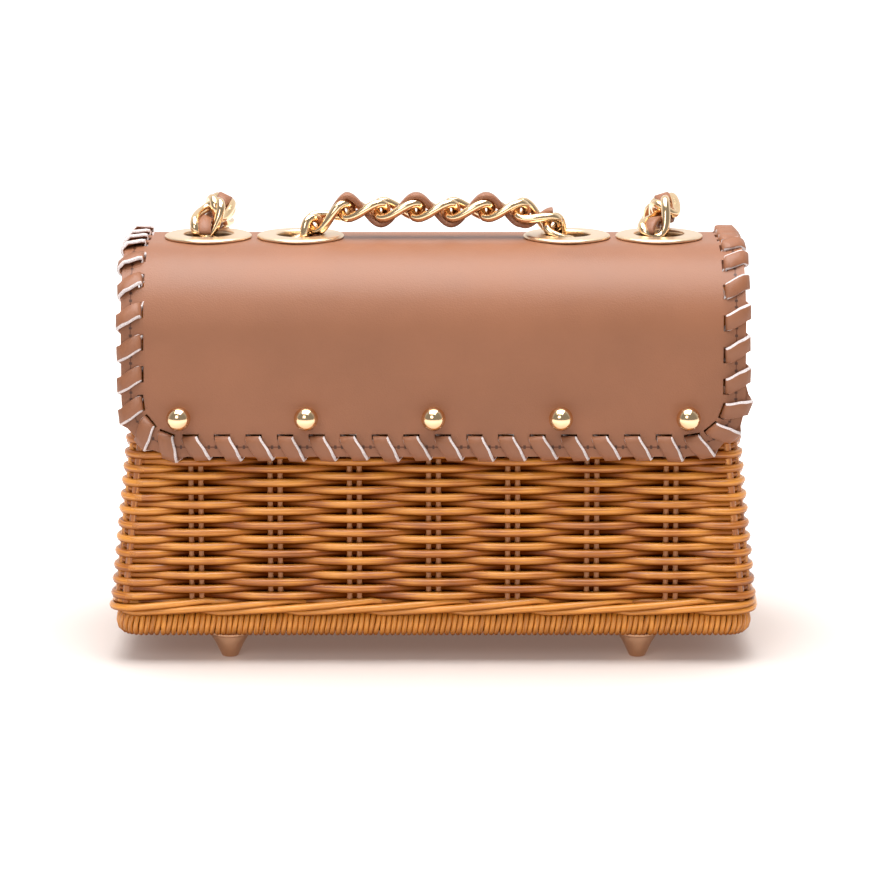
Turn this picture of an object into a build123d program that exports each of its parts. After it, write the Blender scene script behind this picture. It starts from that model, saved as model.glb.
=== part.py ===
"""Rattan hand bag: a woven basket with a laced leather flap, ball studs and a chain handle.

Millimetres. The origin is on the floor below the middle of the bag, +X is to the right,
+Y to the back and +Z up, so the flap's front panel faces -Y.
"""
from build123d import *
from math import acos, asin, cos, degrees, pi, radians, sin, tan
import os

os.makedirs("parts", exist_ok=True)

# Basket
basket_width = 240.0
basket_depth = 101.0
wall_lean = 5.25
row_height = 5.3
row_count = 16
cane = 2.4
stake_thickness = 2.4
stake_width = 5.8
stake_pitch = 29.5
front_stakes = 7
end_stakes = 3
post_size = 7.2
post_sides = 8
weave_gap = 0.06

# Bottom
foot_height = 11.0
border_height = 8.5
border_width = 8.0
border_inset = 3.0
border_corner = 9.0
border_strand = 12.0
strand_relief = 0.9
floor_thickness = 3.6
floor_rib_pitch = 9.5
floor_rib_depth = 0.8

# Feet with square necks, and their nuts
foot_top_diameter = 16.4
foot_bottom_diameter = 6.5
foot_rim_height = 1.6
foot_sides = 12
foot_spacing_x = 154.0
foot_spacing_y = 72.0
foot_neck = 3.0
foot_neck_rise = 2.4
foot_nut = 6.0
foot_nut_sides = 6
foot_nut_height = 2.0

# Rims and the hinge rod
rim_diameter = 4.4
rim_sides = 5
rim_gap = 0.3
front_rim_diameter = 5.4
rod_diameter = 4.4
rod_sides = 12

# Flap
flap_width = 230.6
flap_bottom = 79.5
crest_height = 154.0
leather = 2.0
flap_gap = 1.75
shoulder_radius = 29.0
flap_corner = 22.0
back_edge_rise = 4.0

# Lace round the flap's edge and at the hinge
lace_width = 6.0
lace_thickness = 1.3
lace_pitch = 11.5
lace_inset = 6.5
lace_slant = 0.7
lace_gap = 0.15
hinge_lace_count = 7
hinge_lace_length = 8.0
hinge_lace_gap = 0.35
hinge_lace_room = 0.6

# Grommets
grommet_diameter = 33.0
grommet_hole = 18.0
grommet_thickness = 1.6
grommet_neck = 1.0
grommet_lip_diameter = 23.0
grommet_lip = 1.0
grommet_sides = 18
inner_grommet_x = 50.5
outer_grommet_x = 85.5

# Ball studs
stud_diameter = 9.0
stud_count = 5
stud_spacing = 47.0
stud_height = 94.0
stud_sink = 0.8
stud_bands = 6
stud_sides = 10
stud_screw_diameter = 2.5
stud_screw_sides = 6
stud_screw_depth = 4.0
stud_head_diameter = 7.0
stud_head_height = 0.9
stud_head_sides = 6

# Magnet snaps between flap and front wall
snap_diameter = 14.0
snap_thickness = 0.6
snap_spacing = 59.0
snap_sides = 12

# Chain and the strip woven through it
wire = 3.2
wire_sides = 5
link_steps = 12
link_pitch = 12.7
link_half_length = 8.6
link_half_width = 4.0
link_twist = 2.8
handle_rise = 10.5
run_links = 5
bend_angles = (25.0, 55.0)
strip_width = 4.0
strip_thickness = 2.0
strip_wave = 6.0
strip_steps = 36

# Shoulder strap, drawn as a plain tube
strap_diameter = 9.0
strap_sides = 5
strap_run_share = 0.45
strap_points = [
    (-85.5, 0.0, 155.1),
    (-85.5, 0.6, 159.7),
    (-85.5, 3.2, 163.5),
    (-85.5, 7.2, 165.8),
    (-85.5, 13.2, 166.9),
    (-85.5, 22.2, 166.0),
    (-85.3, 32.5, 162.2),
    (-85.0, 43.0, 154.6),
    (-84.3, 51.4, 142.4),
    (-83.2, 56.8, 125.7),
    (-81.5, 59.0, 105.7),
    (-79.0, 59.8, 83.2),
    (-75.0, 60.0, 60.0),
    (-65.5, 60.0, 38.5),
    (-47.5, 60.0, 22.5),
    (-20.0, 60.0, 14.5),
]

# How far the basket stands behind the origin, because the studs stand out in front
basket_shift = 2.4

# Shared by every cut
overrun = 20.0
clearance = 0.1

# Places worked out from the sizes above
lean = radians(wall_lean)
wall = stake_thickness + 2 * cane
weave_base = foot_height + border_height
weave_top = weave_base + row_count * row_height
inner_crest = crest_height - leather - flap_gap
half_flap = flap_width / 2
ring_top = crest_height + grommet_thickness
run_height = ring_top + handle_rise
rod_radius = rod_diameter / 2
axis_height = weave_top + hinge_lace_room + lace_thickness + hinge_lace_gap + rod_radius
grommet_places = [s * x for x in (inner_grommet_x, outer_grommet_x) for s in (-1, 1)]
corner_signs = [(sx, sy) for sx in (-1, 1) for sy in (-1, 1)]


def half_width(height):
    """Half the basket's width over the canes at a height."""
    return basket_width / 2 - (height - weave_base) * tan(lean)


def half_depth(height):
    """Half the basket's depth over the canes at a height."""
    return basket_depth / 2 - (height - weave_base) * tan(lean)


axis_y = half_depth(axis_height)


def save(builder, node):
    """Put a finished piece in its place, name it and write it."""
    placed = builder.part.moved(Location((0, basket_shift, 0)))
    placed.label = node
    export_step(placed, f"parts/{node}.step")


def arch_points(swell):
    """Corners of the bag's section, moved out by a distance, from the front foot to the back."""
    crest = inner_crest + swell
    base = basket_depth / 2 + swell / cos(lean)
    top = base - (crest - weave_base) * tan(lean)
    return [(-base, weave_base), (-top, crest), (top, crest), (base, weave_base)]


def arch_section(swell):
    """The bag's section as a filled sketch in the YZ plane."""
    with BuildSketch(Plane.YZ) as section:
        with BuildLine():
            Polyline(*arch_points(swell), close=True)
        make_face()
        fillet(section.vertices().group_by(Axis.Y)[-1], radius=shoulder_radius + swell)
    return section.sketch_local


def below(height, half, plane):
    """A tall rectangle that ends at a height, to cut away what lies under it."""
    with BuildSketch(plane) as block:
        with Locations((half, height - basket_width / 2)):
            Rectangle(basket_depth, basket_width)
    return block.sketch_local


# Woven walls: each row goes over one stake and under the next, and the next row the other way
def woven_wall(node, turn, half_span, stake_count, rows, outline):
    """One leaning wall of stakes and rows, trimmed to its outline."""
    along = Vector(1, 0, 0).rotate(Axis.Z, turn)
    outward = Vector(0, -1, 0).rotate(Axis.Z, turn)
    rise = Vector(0, 0, 1) - outward * tan(lean)
    reach = stake_count // 2 + 1
    swing = (stake_thickness + cane) / 2
    stake_ease = clearance + swing * stake_width / stake_pitch
    with BuildPart() as wall_part:
        for row in range(rows):
            height = weave_base + row * row_height
            middle = half_span - wall / 2 - row * row_height * tan(lean)
            line = [(k * stake_pitch, swing * (-1) ** (k + row) - middle) for k in range(-reach, reach + 1)]
            outer = [(x, y - cane / 2) for x, y in line]
            inner = [(x, y + cane / 2) for x, y in reversed(line)]
            with BuildSketch(Plane((0, 0, height), x_dir=along, z_dir=(0, 0, 1))):
                with BuildLine():
                    Polyline(*outer, *inner, close=True)
                make_face()
            extrude(amount=(row_height - weave_gap) / cos(lean), dir=rise.normalized())
        with BuildSketch(Plane((0, 0, weave_base), x_dir=along, z_dir=(0, 0, 1))):
            with Locations((0, wall / 2 - half_span)):
                with GridLocations(stake_pitch, 0, stake_count, 1):
                    Rectangle(stake_width, stake_thickness - 2 * stake_ease)
        extrude(amount=rows * row_height / cos(lean), dir=rise.normalized())
        upright = Plane((0, 0, 0), x_dir=along, z_dir=outward)
        extrude(upright * outline, amount=basket_width, both=True, mode=Mode.INTERSECT)
    save(wall_part, node)


with BuildSketch() as long_outline:
    with BuildLine():
        foot_x = half_width(weave_base) - post_size - clearance
        top_x = half_width(weave_top) - post_size - clearance
        Polyline((-foot_x, weave_base), (foot_x, weave_base), (top_x, weave_top), (-top_x, weave_top), close=True)
    make_face()

with BuildSketch() as end_outline:
    add(arch_section(-rim_diameter - 2 * rim_gap))
    with BuildLine():
        foot_y = half_depth(weave_base) - post_size - clearance
        top_y = half_depth(weave_top) - post_size - clearance
        Polyline(
            (foot_y, weave_base), (top_y, weave_top + clearance), (basket_depth, weave_top + clearance),
            (basket_depth, weave_base), close=True,
        )
    make_face(mode=Mode.SUBTRACT)
    with BuildLine():
        Polyline(
            (-foot_y, weave_base), (-top_y, weave_top + clearance), (-basket_depth, weave_top + clearance),
            (-basket_depth, weave_base), close=True,
        )
    make_face(mode=Mode.SUBTRACT)

end_rows = int((inner_crest - rim_diameter - weave_base) / row_height) + 1
woven_wall("front_wall", 0, basket_depth / 2, front_stakes, row_count, long_outline.sketch)
woven_wall("back_wall", 180, basket_depth / 2, front_stakes, row_count, long_outline.sketch)
woven_wall("right_end_wall", 90, basket_width / 2, end_stakes, end_rows, end_outline.sketch)
woven_wall("left_end_wall", 270, basket_width / 2, end_stakes, end_rows, end_outline.sketch)

# Corner posts, leaning both ways
with BuildPart() as corner_posts:
    for sx, sy in corner_signs:
        with BuildSketch(Plane.XY.offset(weave_base)):
            with Locations((sx * (basket_width - post_size) / 2, sy * (basket_depth - post_size) / 2)):
                RegularPolygon(post_size / 2, post_sides, major_radius=False, rotation=180 / post_sides)
        slope = Vector(-sx * tan(lean), -sy * tan(lean), 1)
        extrude(amount=(weave_top - weave_base) * slope.length, dir=slope.normalized())
save(corner_posts, "corner_posts")

# Border: a ring wrapped with upright strands, drawn as ridges round its outline
border_x = basket_width - 2 * border_inset
border_y = basket_depth - 2 * border_inset
with BuildSketch() as border_path:
    RectangleRounded(border_x - strand_relief, border_y - strand_relief, border_corner)
border_wire = border_path.face().outer_wire()
ridge_count = round(border_wire.length / border_strand)
with BuildPart() as base_border:
    ridge_points = []
    for i in range(2 * ridge_count):
        place = i / (2 * ridge_count)
        away = border_wire.tangent_at(place).cross(Vector(0, 0, 1))
        step = strand_relief / 2 if i % 2 else -strand_relief / 2
        ridge_points.append(border_wire.position_at(place) + away * step)
    with BuildSketch(Plane.XY.offset(foot_height)):
        with BuildLine():
            Polyline(*ridge_points, close=True)
        make_face()
        RectangleRounded(
            border_x - 2 * border_width, border_y - 2 * border_width, border_corner / 2, mode=Mode.SUBTRACT,
        )
    extrude(amount=border_height - weave_gap)
save(base_border, "base_border")

# Floor inside the border, ribbed along its length
with BuildPart() as floor_mat:
    with BuildSketch(Plane.XY.offset(foot_height)):
        RectangleRounded(
            border_x - 2 * border_width - 2 * clearance,
            border_y - 2 * border_width - 2 * clearance,
            border_corner / 2,
        )
    extrude(amount=floor_thickness)
    with BuildSketch(Plane.XY.offset(foot_height + floor_thickness)):
        with GridLocations(0, floor_rib_pitch, 1, int(border_y / floor_rib_pitch / 2) * 2 - 2):
            Rectangle(border_x - 2 * border_width - border_corner, floor_rib_pitch / 2)
    extrude(amount=floor_rib_depth)
    with BuildSketch(Plane.XY.offset(foot_height)):
        with GridLocations(foot_spacing_x, foot_spacing_y, 2, 2):
            Rectangle(foot_neck + 2 * clearance, foot_neck + 2 * clearance)
    extrude(amount=overrun, mode=Mode.SUBTRACT)
    with BuildSketch(Plane.XY.offset(foot_height + floor_thickness)):
        with GridLocations(foot_spacing_x, foot_spacing_y, 2, 2):
            Rectangle(2 * foot_nut, 2 * foot_nut)
    extrude(amount=overrun, mode=Mode.SUBTRACT)
save(floor_mat, "floor_mat")

# Feet: cones with a short upright rim and a square neck up through the floor
with BuildPart() as foot:
    with BuildSketch(Plane.XY):
        RegularPolygon(foot_bottom_diameter / 2, foot_sides)
    with BuildSketch(Plane.XY.offset(foot_height - foot_rim_height)):
        RegularPolygon(foot_top_diameter / 2, foot_sides)
    loft(ruled=True)
    with BuildSketch(Plane.XY.offset(foot_height - foot_rim_height)):
        RegularPolygon(foot_top_diameter / 2, foot_sides)
    extrude(amount=foot_rim_height)
    with BuildSketch(Plane.XY.offset(foot_height)):
        Rectangle(foot_neck, foot_neck)
    extrude(amount=floor_thickness + foot_neck_rise)

with BuildPart() as feet:
    with GridLocations(foot_spacing_x, foot_spacing_y, 2, 2):
        add(foot.part)
save(feet, "feet")

with BuildPart() as foot_nuts:
    with BuildSketch(Plane.XY.offset(foot_height + floor_thickness)):
        with GridLocations(foot_spacing_x, foot_spacing_y, 2, 2):
            RegularPolygon(foot_nut / 2, foot_nut_sides, major_radius=False)
            Rectangle(foot_neck + 2 * clearance, foot_neck + 2 * clearance, mode=Mode.SUBTRACT)
    extrude(amount=foot_nut_height)
save(foot_nuts, "foot_nuts")

# Rim of the front wall, between the front posts
with BuildPart() as front_rim:
    rim_length = 2 * (half_width(weave_top) - post_size - clearance)
    rim_middle = half_depth(weave_top) - wall / 2
    with BuildSketch(Plane((0, -rim_middle, weave_top + front_rim_diameter / 2 + weave_gap), z_dir=(1, 0, 0))):
        RegularPolygon(front_rim_diameter / 2, post_sides, major_radius=False, rotation=180 / post_sides)
    extrude(amount=rim_length / 2, both=True)
save(front_rim, "front_rim")

# Bent canes on the arched ends, standing on the posts
for side, node in ((-1, "left_arch_rim"), (1, "right_arch_rim")):
    with BuildPart() as arch_rim:
        tilt = Vector(-side * sin(lean), 0, cos(lean))
        rim_origin = (side * (basket_width - post_size) / 2, 0, weave_base)
        rim_plane = Plane(rim_origin, x_dir=(0, 1, 0), z_dir=Vector(0, 1, 0).cross(tilt))
        start, left, right, end = arch_points(-rim_diameter / 2 - rim_gap)
        stand = weave_top + rim_diameter * tan(lean) + clearance
        stand_y = -start[0] - (stand - weave_base) * tan(lean)
        legs = [(-stand_y, stand), left, right, (stand_y, stand)]
        flat_legs = [(y, (z - weave_base) / cos(lean)) for y, z in legs]
        with BuildLine(rim_plane) as arch_line:
            FilletPolyline(*flat_legs, radius=shoulder_radius - rim_diameter / 2 - rim_gap)
        with BuildSketch(Plane(arch_line.line @ 0, z_dir=arch_line.line % 0)):
            RegularPolygon(rim_diameter / 2, rim_sides)
        sweep(path=arch_line.line)
    save(arch_rim, node)

# Hinge rod along the top of the back wall, between the two arches
with BuildPart() as hinge_rod:
    rod_half = half_width(axis_height) - (post_size + rim_diameter) / 2 - 2 * clearance
    with BuildSketch(Plane((0, axis_y, axis_height), z_dir=(1, 0, 0))):
        RegularPolygon(rod_radius, rod_sides)
    extrude(amount=rod_half, both=True)
save(hinge_rod, "hinge_rod")


# Places round the flap's edge: a point on the middle of the leather, the way along and the way out
mid_swell = flap_gap + leather / 2
front_low, front_high, back_high, back_low = arch_points(mid_swell)
panel_bottom_y = front_low[0] + (flap_bottom - weave_base) * tan(lean)
panel_out = Vector(0, -cos(lean), sin(lean))
panel_plane = Plane((0, panel_bottom_y, flap_bottom), x_dir=(1, 0, 0), z_dir=panel_out)
back_edge = axis_height + back_edge_rise
back_edge_y = back_low[0] - (back_edge - weave_base) * tan(lean)

with BuildLine(panel_plane) as panel_edge:
    FilletPolyline(
        (-half_flap, flap_corner + overrun), (-half_flap, 0), (half_flap, 0), (half_flap, flap_corner + overrun),
        radius=flap_corner,
    )
turn_start = panel_bottom_y + flap_corner * sin(lean)
with BuildLine(Plane.YZ) as side_edge:
    FilletPolyline(
        (turn_start, flap_bottom + flap_corner * cos(lean)), front_high, back_high, (back_edge_y, back_edge),
        radius=shoulder_radius + mid_swell,
    )


def panel_places():
    """Where the lace crosses the panel's edge, from its left corner round to the right."""
    panel = panel_edge.wire()
    start = overrun / panel.length
    steps = round((panel.length - 2 * overrun) / lace_pitch)
    places = []
    for i in range(steps):
        along = start + (1 - 2 * start) * (2 * i + 1) / (2 * steps)
        places.append((panel.position_at(along), panel.tangent_at(along), panel_out))
    return places


def side_places():
    """Where the lace crosses the two side edges, from the panel's corners over to the back."""
    side = side_edge.wire()
    steps = round(side.length / lace_pitch)
    places = []
    for i in range(steps):
        along = (2 * i + 1) / (2 * steps)
        point = side.position_at(along)
        way = side.tangent_at(along)
        away = Vector(1, 0, 0).cross(way)
        places.append((point + Vector(half_flap, 0, 0), way, away))
        places.append((point - Vector(half_flap, 0, 0), way * -1, away))
    return places


def lace_plane(point, way, away, slant):
    """Section plane of one wrap, with x running in from the edge and y out of the leather."""
    inward = away.cross(way)
    slanted = (inward - way * slant).normalized()
    return Plane(point, x_dir=slanted, z_dir=slanted.cross(away))


panel_stretch = (1 + lace_slant**2) ** 0.5
wrap_outer_x = lace_inset + lace_thickness
wrap_inner_y = leather / 2 + lace_gap
wrap_outer_y = wrap_inner_y + lace_thickness

# Flap: one sheet of leather over the arch and down the front
with BuildPart() as flap:
    with BuildSketch(Plane.YZ):
        add(arch_section(flap_gap + leather))
        add(arch_section(flap_gap), mode=Mode.SUBTRACT)
        add(below(flap_bottom, -basket_depth / 2, Plane.YZ), mode=Mode.SUBTRACT)
        add(below(back_edge, basket_depth / 2, Plane.YZ), mode=Mode.SUBTRACT)
    extrude(amount=half_flap, both=True)
    with BuildSketch(panel_plane):
        for side in (-1, 1):
            with Locations((side * (half_flap - flap_corner / 2 + overrun / 2), flap_corner / 2 - overrun / 2)):
                Rectangle(flap_corner + overrun, flap_corner + overrun)
            with Locations((side * (half_flap - flap_corner), flap_corner)):
                Circle(flap_corner, mode=Mode.SUBTRACT)
    extrude(amount=overrun / 2, both=True, mode=Mode.SUBTRACT)
    with BuildSketch(Plane.XY.offset(crest_height)):
        for x in grommet_places:
            with Locations((x, 0)):
                RegularPolygon(grommet_hole / 2 + grommet_neck + clearance, grommet_sides)
    extrude(amount=overrun, both=True, mode=Mode.SUBTRACT)
    for point, way, away in panel_places():
        with BuildSketch(lace_plane(point, way, away, lace_slant)):
            with Locations(((lace_inset + lace_thickness / 2) * panel_stretch, 0)):
                Rectangle((lace_thickness + 2 * lace_gap) * panel_stretch, leather + lace_thickness)
        extrude(amount=lace_width / 2 + lace_gap, dir=way, both=True, mode=Mode.SUBTRACT)
    stud_up = (stud_height - flap_bottom) / cos(lean)
    with BuildSketch(panel_plane):
        with Locations((0, stud_up)):
            with GridLocations(stud_spacing, 0, stud_count, 1):
                RegularPolygon(stud_screw_diameter / 2 + clearance, stud_screw_sides)
    extrude(amount=overrun / 2, both=True, mode=Mode.SUBTRACT)
    hinge_way = Vector(0, back_low[0] - axis_y - (axis_height + hinge_lace_length - weave_base) * tan(lean),
                       hinge_lace_length)
    hinge_slot = Vector(0, axis_y, axis_height) + hinge_way
    loop_inner = rod_radius + hinge_lace_gap
    slot_height = hinge_slot.Z + loop_inner + lace_thickness / 2
    hinge_lace_pitch = stake_pitch
    with BuildSketch(Plane((0, axis_y, slot_height), x_dir=(1, 0, 0), z_dir=(0, 1, 0))):
        with GridLocations(hinge_lace_pitch, 0, hinge_lace_count, 1):
            Rectangle(lace_width + 2 * lace_gap, lace_thickness + 4 * lace_gap)
    extrude(amount=overrun / 2, both=True, mode=Mode.SUBTRACT)
save(flap, "flap")

# Lace: each wrap goes round the edge, and on the panel on a slant and through its slot
with BuildPart() as flap_lacing:
    for closed, places in ((True, panel_places()), (False, side_places())):
        slant = lace_slant if closed else 0
        stretch = panel_stretch if closed else 1
        bite = lace_inset - lace_gap if closed else wrap_outer_x + overrun
        for point, way, away in places:
            with BuildSketch(lace_plane(point, way, away, slant)):
                with Locations(((wrap_outer_x - lace_gap - lace_thickness) * stretch / 2, 0)):
                    Rectangle((wrap_outer_x + lace_gap + lace_thickness) * stretch, 2 * wrap_outer_y)
                with Locations(((bite - lace_gap) * stretch / 2, 0)):
                    Rectangle((bite + lace_gap) * stretch, 2 * wrap_inner_y, mode=Mode.SUBTRACT)
            extrude(amount=lace_width / 2, dir=way, both=True)
save(flap_lacing, "flap_lacing")

# Hinge laces: loops round the rod and through the flap's back edge
with BuildPart() as hinge_laces:
    loop_length = hinge_way.length
    loop_outer = loop_inner + lace_thickness
    for i in range(hinge_lace_count):
        place = (i - (hinge_lace_count - 1) / 2) * hinge_lace_pitch
        with BuildSketch(Plane((place, axis_y, axis_height), x_dir=hinge_way.normalized(), z_dir=(1, 0, 0))) as loop:
            with Locations((loop_length / 2, 0)):
                Rectangle(loop_length + 2 * loop_outer, 2 * loop_outer)
                chamfer(loop.vertices(), length=loop_outer * (2 - 2**0.5))
                Rectangle(loop_length + 2 * loop_inner, 2 * loop_inner, mode=Mode.SUBTRACT)
        extrude(amount=lace_width / 2, both=True)
save(hinge_laces, "hinge_laces")

# Grommets: flat rings with a barrel through the leather, rolled out below it
lip_top = crest_height - leather - clearance
with BuildPart() as grommets:
    for radius, low, high in (
        (grommet_lip_diameter / 2, lip_top - grommet_lip, lip_top),
        (grommet_hole / 2 + grommet_neck, lip_top, crest_height + clearance),
        (grommet_diameter / 2, crest_height + clearance, ring_top),
    ):
        with BuildSketch(Plane.XY.offset(low)):
            for x in grommet_places:
                with Locations((x, 0)):
                    RegularPolygon(radius, grommet_sides)
                    RegularPolygon(grommet_hole / 2, grommet_sides, mode=Mode.SUBTRACT)
        extrude(amount=high - low)
save(grommets, "grommets")

# Ball studs on the front panel and their screws
leather_face = Plane(panel_plane.origin + panel_out * (leather / 2 + clearance), x_dir=(1, 0, 0), z_dir=panel_out)
inner_face = Plane(panel_plane.origin - panel_out * (leather / 2 + clearance), x_dir=(1, 0, 0), z_dir=panel_out)
with BuildPart() as ball:
    ball_radius = stud_diameter / 2
    ball_middle = ball_radius - stud_sink
    first_turn = -asin(ball_middle / ball_radius)
    ball_turns = [first_turn + (pi / 2 - first_turn) * i / stud_bands for i in range(stud_bands)]
    for low, high in zip(ball_turns, ball_turns[1:]):
        for turn in (low, high):
            with BuildSketch(Plane.XY.offset(ball_middle + ball_radius * sin(turn))):
                RegularPolygon(ball_radius * cos(turn), stud_sides)
        loft(ruled=True)

with BuildPart() as ball_studs:
    stud_places = [(i - (stud_count - 1) / 2) * stud_spacing for i in range(stud_count)]
    with Locations(*[leather_face.location * Location((x, stud_up, 0)) for x in stud_places]):
        add(ball.part)
    with BuildSketch(leather_face):
        with Locations((0, stud_up)):
            with GridLocations(stud_spacing, 0, stud_count, 1):
                RegularPolygon(stud_screw_diameter / 2 + clearance, stud_screw_sides)
    extrude(amount=stud_screw_depth, both=True, mode=Mode.SUBTRACT)
save(ball_studs, "ball_studs")

with BuildPart() as stud_screws:
    with BuildSketch(inner_face):
        with Locations((0, stud_up)):
            with GridLocations(stud_spacing, 0, stud_count, 1):
                RegularPolygon(stud_head_diameter / 2, stud_head_sides)
    extrude(amount=-stud_head_height)
    with BuildSketch(inner_face):
        with Locations((0, stud_up)):
            with GridLocations(stud_spacing, 0, stud_count, 1):
                RegularPolygon(stud_screw_diameter / 2, stud_screw_sides)
    extrude(amount=leather + stud_screw_depth - clearance)
save(stud_screws, "stud_screws")

# Magnet snaps: one half on the flap, the other on the wall behind it
with BuildPart() as magnet_snaps:
    with BuildSketch(inner_face):
        with Locations((0, stud_up)):
            with GridLocations(snap_spacing, 0, 2, 1):
                RegularPolygon(snap_diameter / 2, snap_sides)
    extrude(amount=-snap_thickness)
save(magnet_snaps, "magnet_snaps")

wall_face = Plane(panel_plane.origin - panel_out * (mid_swell - clearance), x_dir=(1, 0, 0), z_dir=panel_out)
with BuildPart() as snap_plates:
    with BuildSketch(wall_face):
        with Locations((0, stud_up)):
            with GridLocations(snap_spacing, 0, 2, 1):
                RegularPolygon(snap_diameter / 2, snap_sides)
    extrude(amount=snap_thickness)
save(snap_plates, "snap_plates")


# Chain links: a wire bent round a closed, twisted line
def link_loop(centre, angle):
    """Points round one link that lies along X, tipped down to the right by an angle."""
    way = Vector(cos(radians(angle)), 0, -sin(radians(angle)))
    up = Vector(sin(radians(angle)), 0, cos(radians(angle)))
    points = []
    for i in range(link_steps):
        turn = 2 * pi * i / link_steps
        along = way * (link_half_length * cos(turn))
        across = Vector(0, link_half_width * sin(turn), 0)
        points.append(centre + along + across - up * (link_twist * sin(2 * turn)))
    return points


def link_solid(line, radius):
    """A closed link whose wire follows the points of a loop."""
    centre = sum(line, Vector(0, 0, 0)) / len(line)
    rings = []
    for i, point in enumerate(line):
        way = (line[(i + 1) % len(line)] - line[i - 1]).normalized()
        out = point - centre
        out = (out - way * out.dot(way)).normalized()
        side = way.cross(out)
        turns = [2 * pi * k / wire_sides for k in range(wire_sides)]
        rings.append([point + (out * cos(turn) + side * sin(turn)) * radius for turn in turns])
    faces = []
    for ring, after in zip(rings, rings[1:] + rings[:1]):
        for k in range(wire_sides):
            n = (k + 1) % wire_sides
            faces.append(Face(Wire.make_polygon([ring[k], ring[n], after[n]])))
            faces.append(Face(Wire.make_polygon([ring[k], after[n], after[k]])))
    return Solid(Shell(faces))


def chain(start, angles):
    """Centres and slopes of links hooked one into the next from a point, and the last hook."""
    hook = start
    links = []
    for angle in angles:
        way = Vector(cos(radians(angle)), 0, -sin(radians(angle)))
        links.append((hook + way * (link_pitch / 2), angle))
        hook = hook + way * link_pitch
    return links, hook


def both_sides(links):
    """The given links of the right side, and the same ones on the left."""
    return links + [(Vector(-centre.X, 0, centre.Z), -angle) for centre, angle in links]


run_half = run_links * link_pitch / 2
run_chain, run_end = chain(Vector(-run_half, 0, run_height), [0] * run_links)
bend_chain, bend_end = chain(run_end, bend_angles)
under_span = inner_grommet_x + outer_grommet_x - 2 * bend_end.X
under_angle = degrees(acos((under_span - link_pitch) / (2 * link_pitch)))
under_links, under_end = chain(bend_end, (under_angle, 0, -under_angle))

# Handle: a level run of links that bends down into the inner grommets at both ends
handle_chain = run_chain + both_sides(bend_chain)
with BuildPart() as handle_links:
    for centre, angle in handle_chain:
        add(link_solid(link_loop(centre, angle), wire / 2))
save(handle_links, "handle_links")

# The chain goes on below the flap, from each inner grommet to the outer one
with BuildPart() as under_chain:
    for centre, angle in both_sides(under_links):
        add(link_solid(link_loop(centre, angle), wire / 2))
save(under_chain, "under_chain")


# Leather strip woven through the handle, over one pair of hooked links and under the next
def strip_line(x):
    """Height of the middle of the strip."""
    drop = max(0, abs(x) - run_half) * tan(radians(bend_angles[0]))
    return run_height - drop + strip_wave * sin(pi * x / link_pitch)


with BuildPart() as handle_lace:
    strip_half = run_half + link_pitch / 2 * cos(radians(bend_angles[0]))
    strip_places = [strip_half * (2 * i / strip_steps - 1) for i in range(strip_steps + 1)]
    with BuildSketch(Plane.XZ):
        with BuildLine():
            upper = [(x, strip_line(x) + strip_thickness / 2) for x in strip_places]
            lower = [(x, strip_line(x) - strip_thickness / 2) for x in reversed(strip_places)]
            Polyline(*upper, *lower, close=True)
        make_face()
    extrude(amount=strip_width / 2, both=True)
save(handle_lace, "handle_lace")

# Shoulder strap: it leaves the outer grommets and hangs in a bow behind the bag
route = strap_points + [(-x, y, z) for x, y, z in reversed(strap_points)]
with BuildPart() as shoulder_strap:
    corners = [Vector(*point) for point in route]
    radii = []
    for before, corner, after in zip(corners, corners[1:], corners[2:]):
        run = min((corner - before).length, (after - corner).length)
        turn = radians((corner - before).get_angle(after - corner))
        radii.append(strap_run_share * run / tan(turn / 2))
    with BuildLine() as strap_line:
        FilletPolyline(*route, radius=radii)
    with BuildSketch(Plane(strap_line.line @ 0, z_dir=strap_line.line % 0)) as strap_section:
        RegularPolygon(strap_diameter / 2, strap_sides)
    sweep(path=strap_line.line)
strap_length = strap_line.wire().length
print("strap radii", [round(radius, 1) for radius in radii])
print("strap length", round(strap_length, 1))
print("strap volume over section times length", shoulder_strap.part.volume / strap_section.sketch.area / strap_length)
save(shoulder_strap, "shoulder_strap")
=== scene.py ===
"""Rattan hand bag: the looks of the woven basket, the laced leather flap and the chains.

Points are worked out in millimetres from the middle of the basket and turned into the
frame's metres when a mesh is made.
"""
import functools
import math

import bmesh
import bpy
import numpy as np
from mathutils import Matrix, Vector


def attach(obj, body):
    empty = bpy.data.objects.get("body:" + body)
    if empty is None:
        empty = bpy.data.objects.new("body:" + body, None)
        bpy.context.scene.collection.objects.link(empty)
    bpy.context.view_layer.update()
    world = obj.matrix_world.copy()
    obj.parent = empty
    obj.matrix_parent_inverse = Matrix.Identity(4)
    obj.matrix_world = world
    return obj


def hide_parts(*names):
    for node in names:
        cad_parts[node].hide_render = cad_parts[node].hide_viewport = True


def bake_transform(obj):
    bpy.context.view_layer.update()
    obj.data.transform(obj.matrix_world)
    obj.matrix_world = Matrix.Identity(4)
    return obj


bl_info = {
    "name": "Rattan Hand Bag",
    "version": (1, 0, 0),
    "blender": (4, 5, 0),
    "location": "View3D > Sidebar > Bag",
    "description": "Dresses the frame of a rattan hand bag",
    "category": "Object",
}

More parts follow.
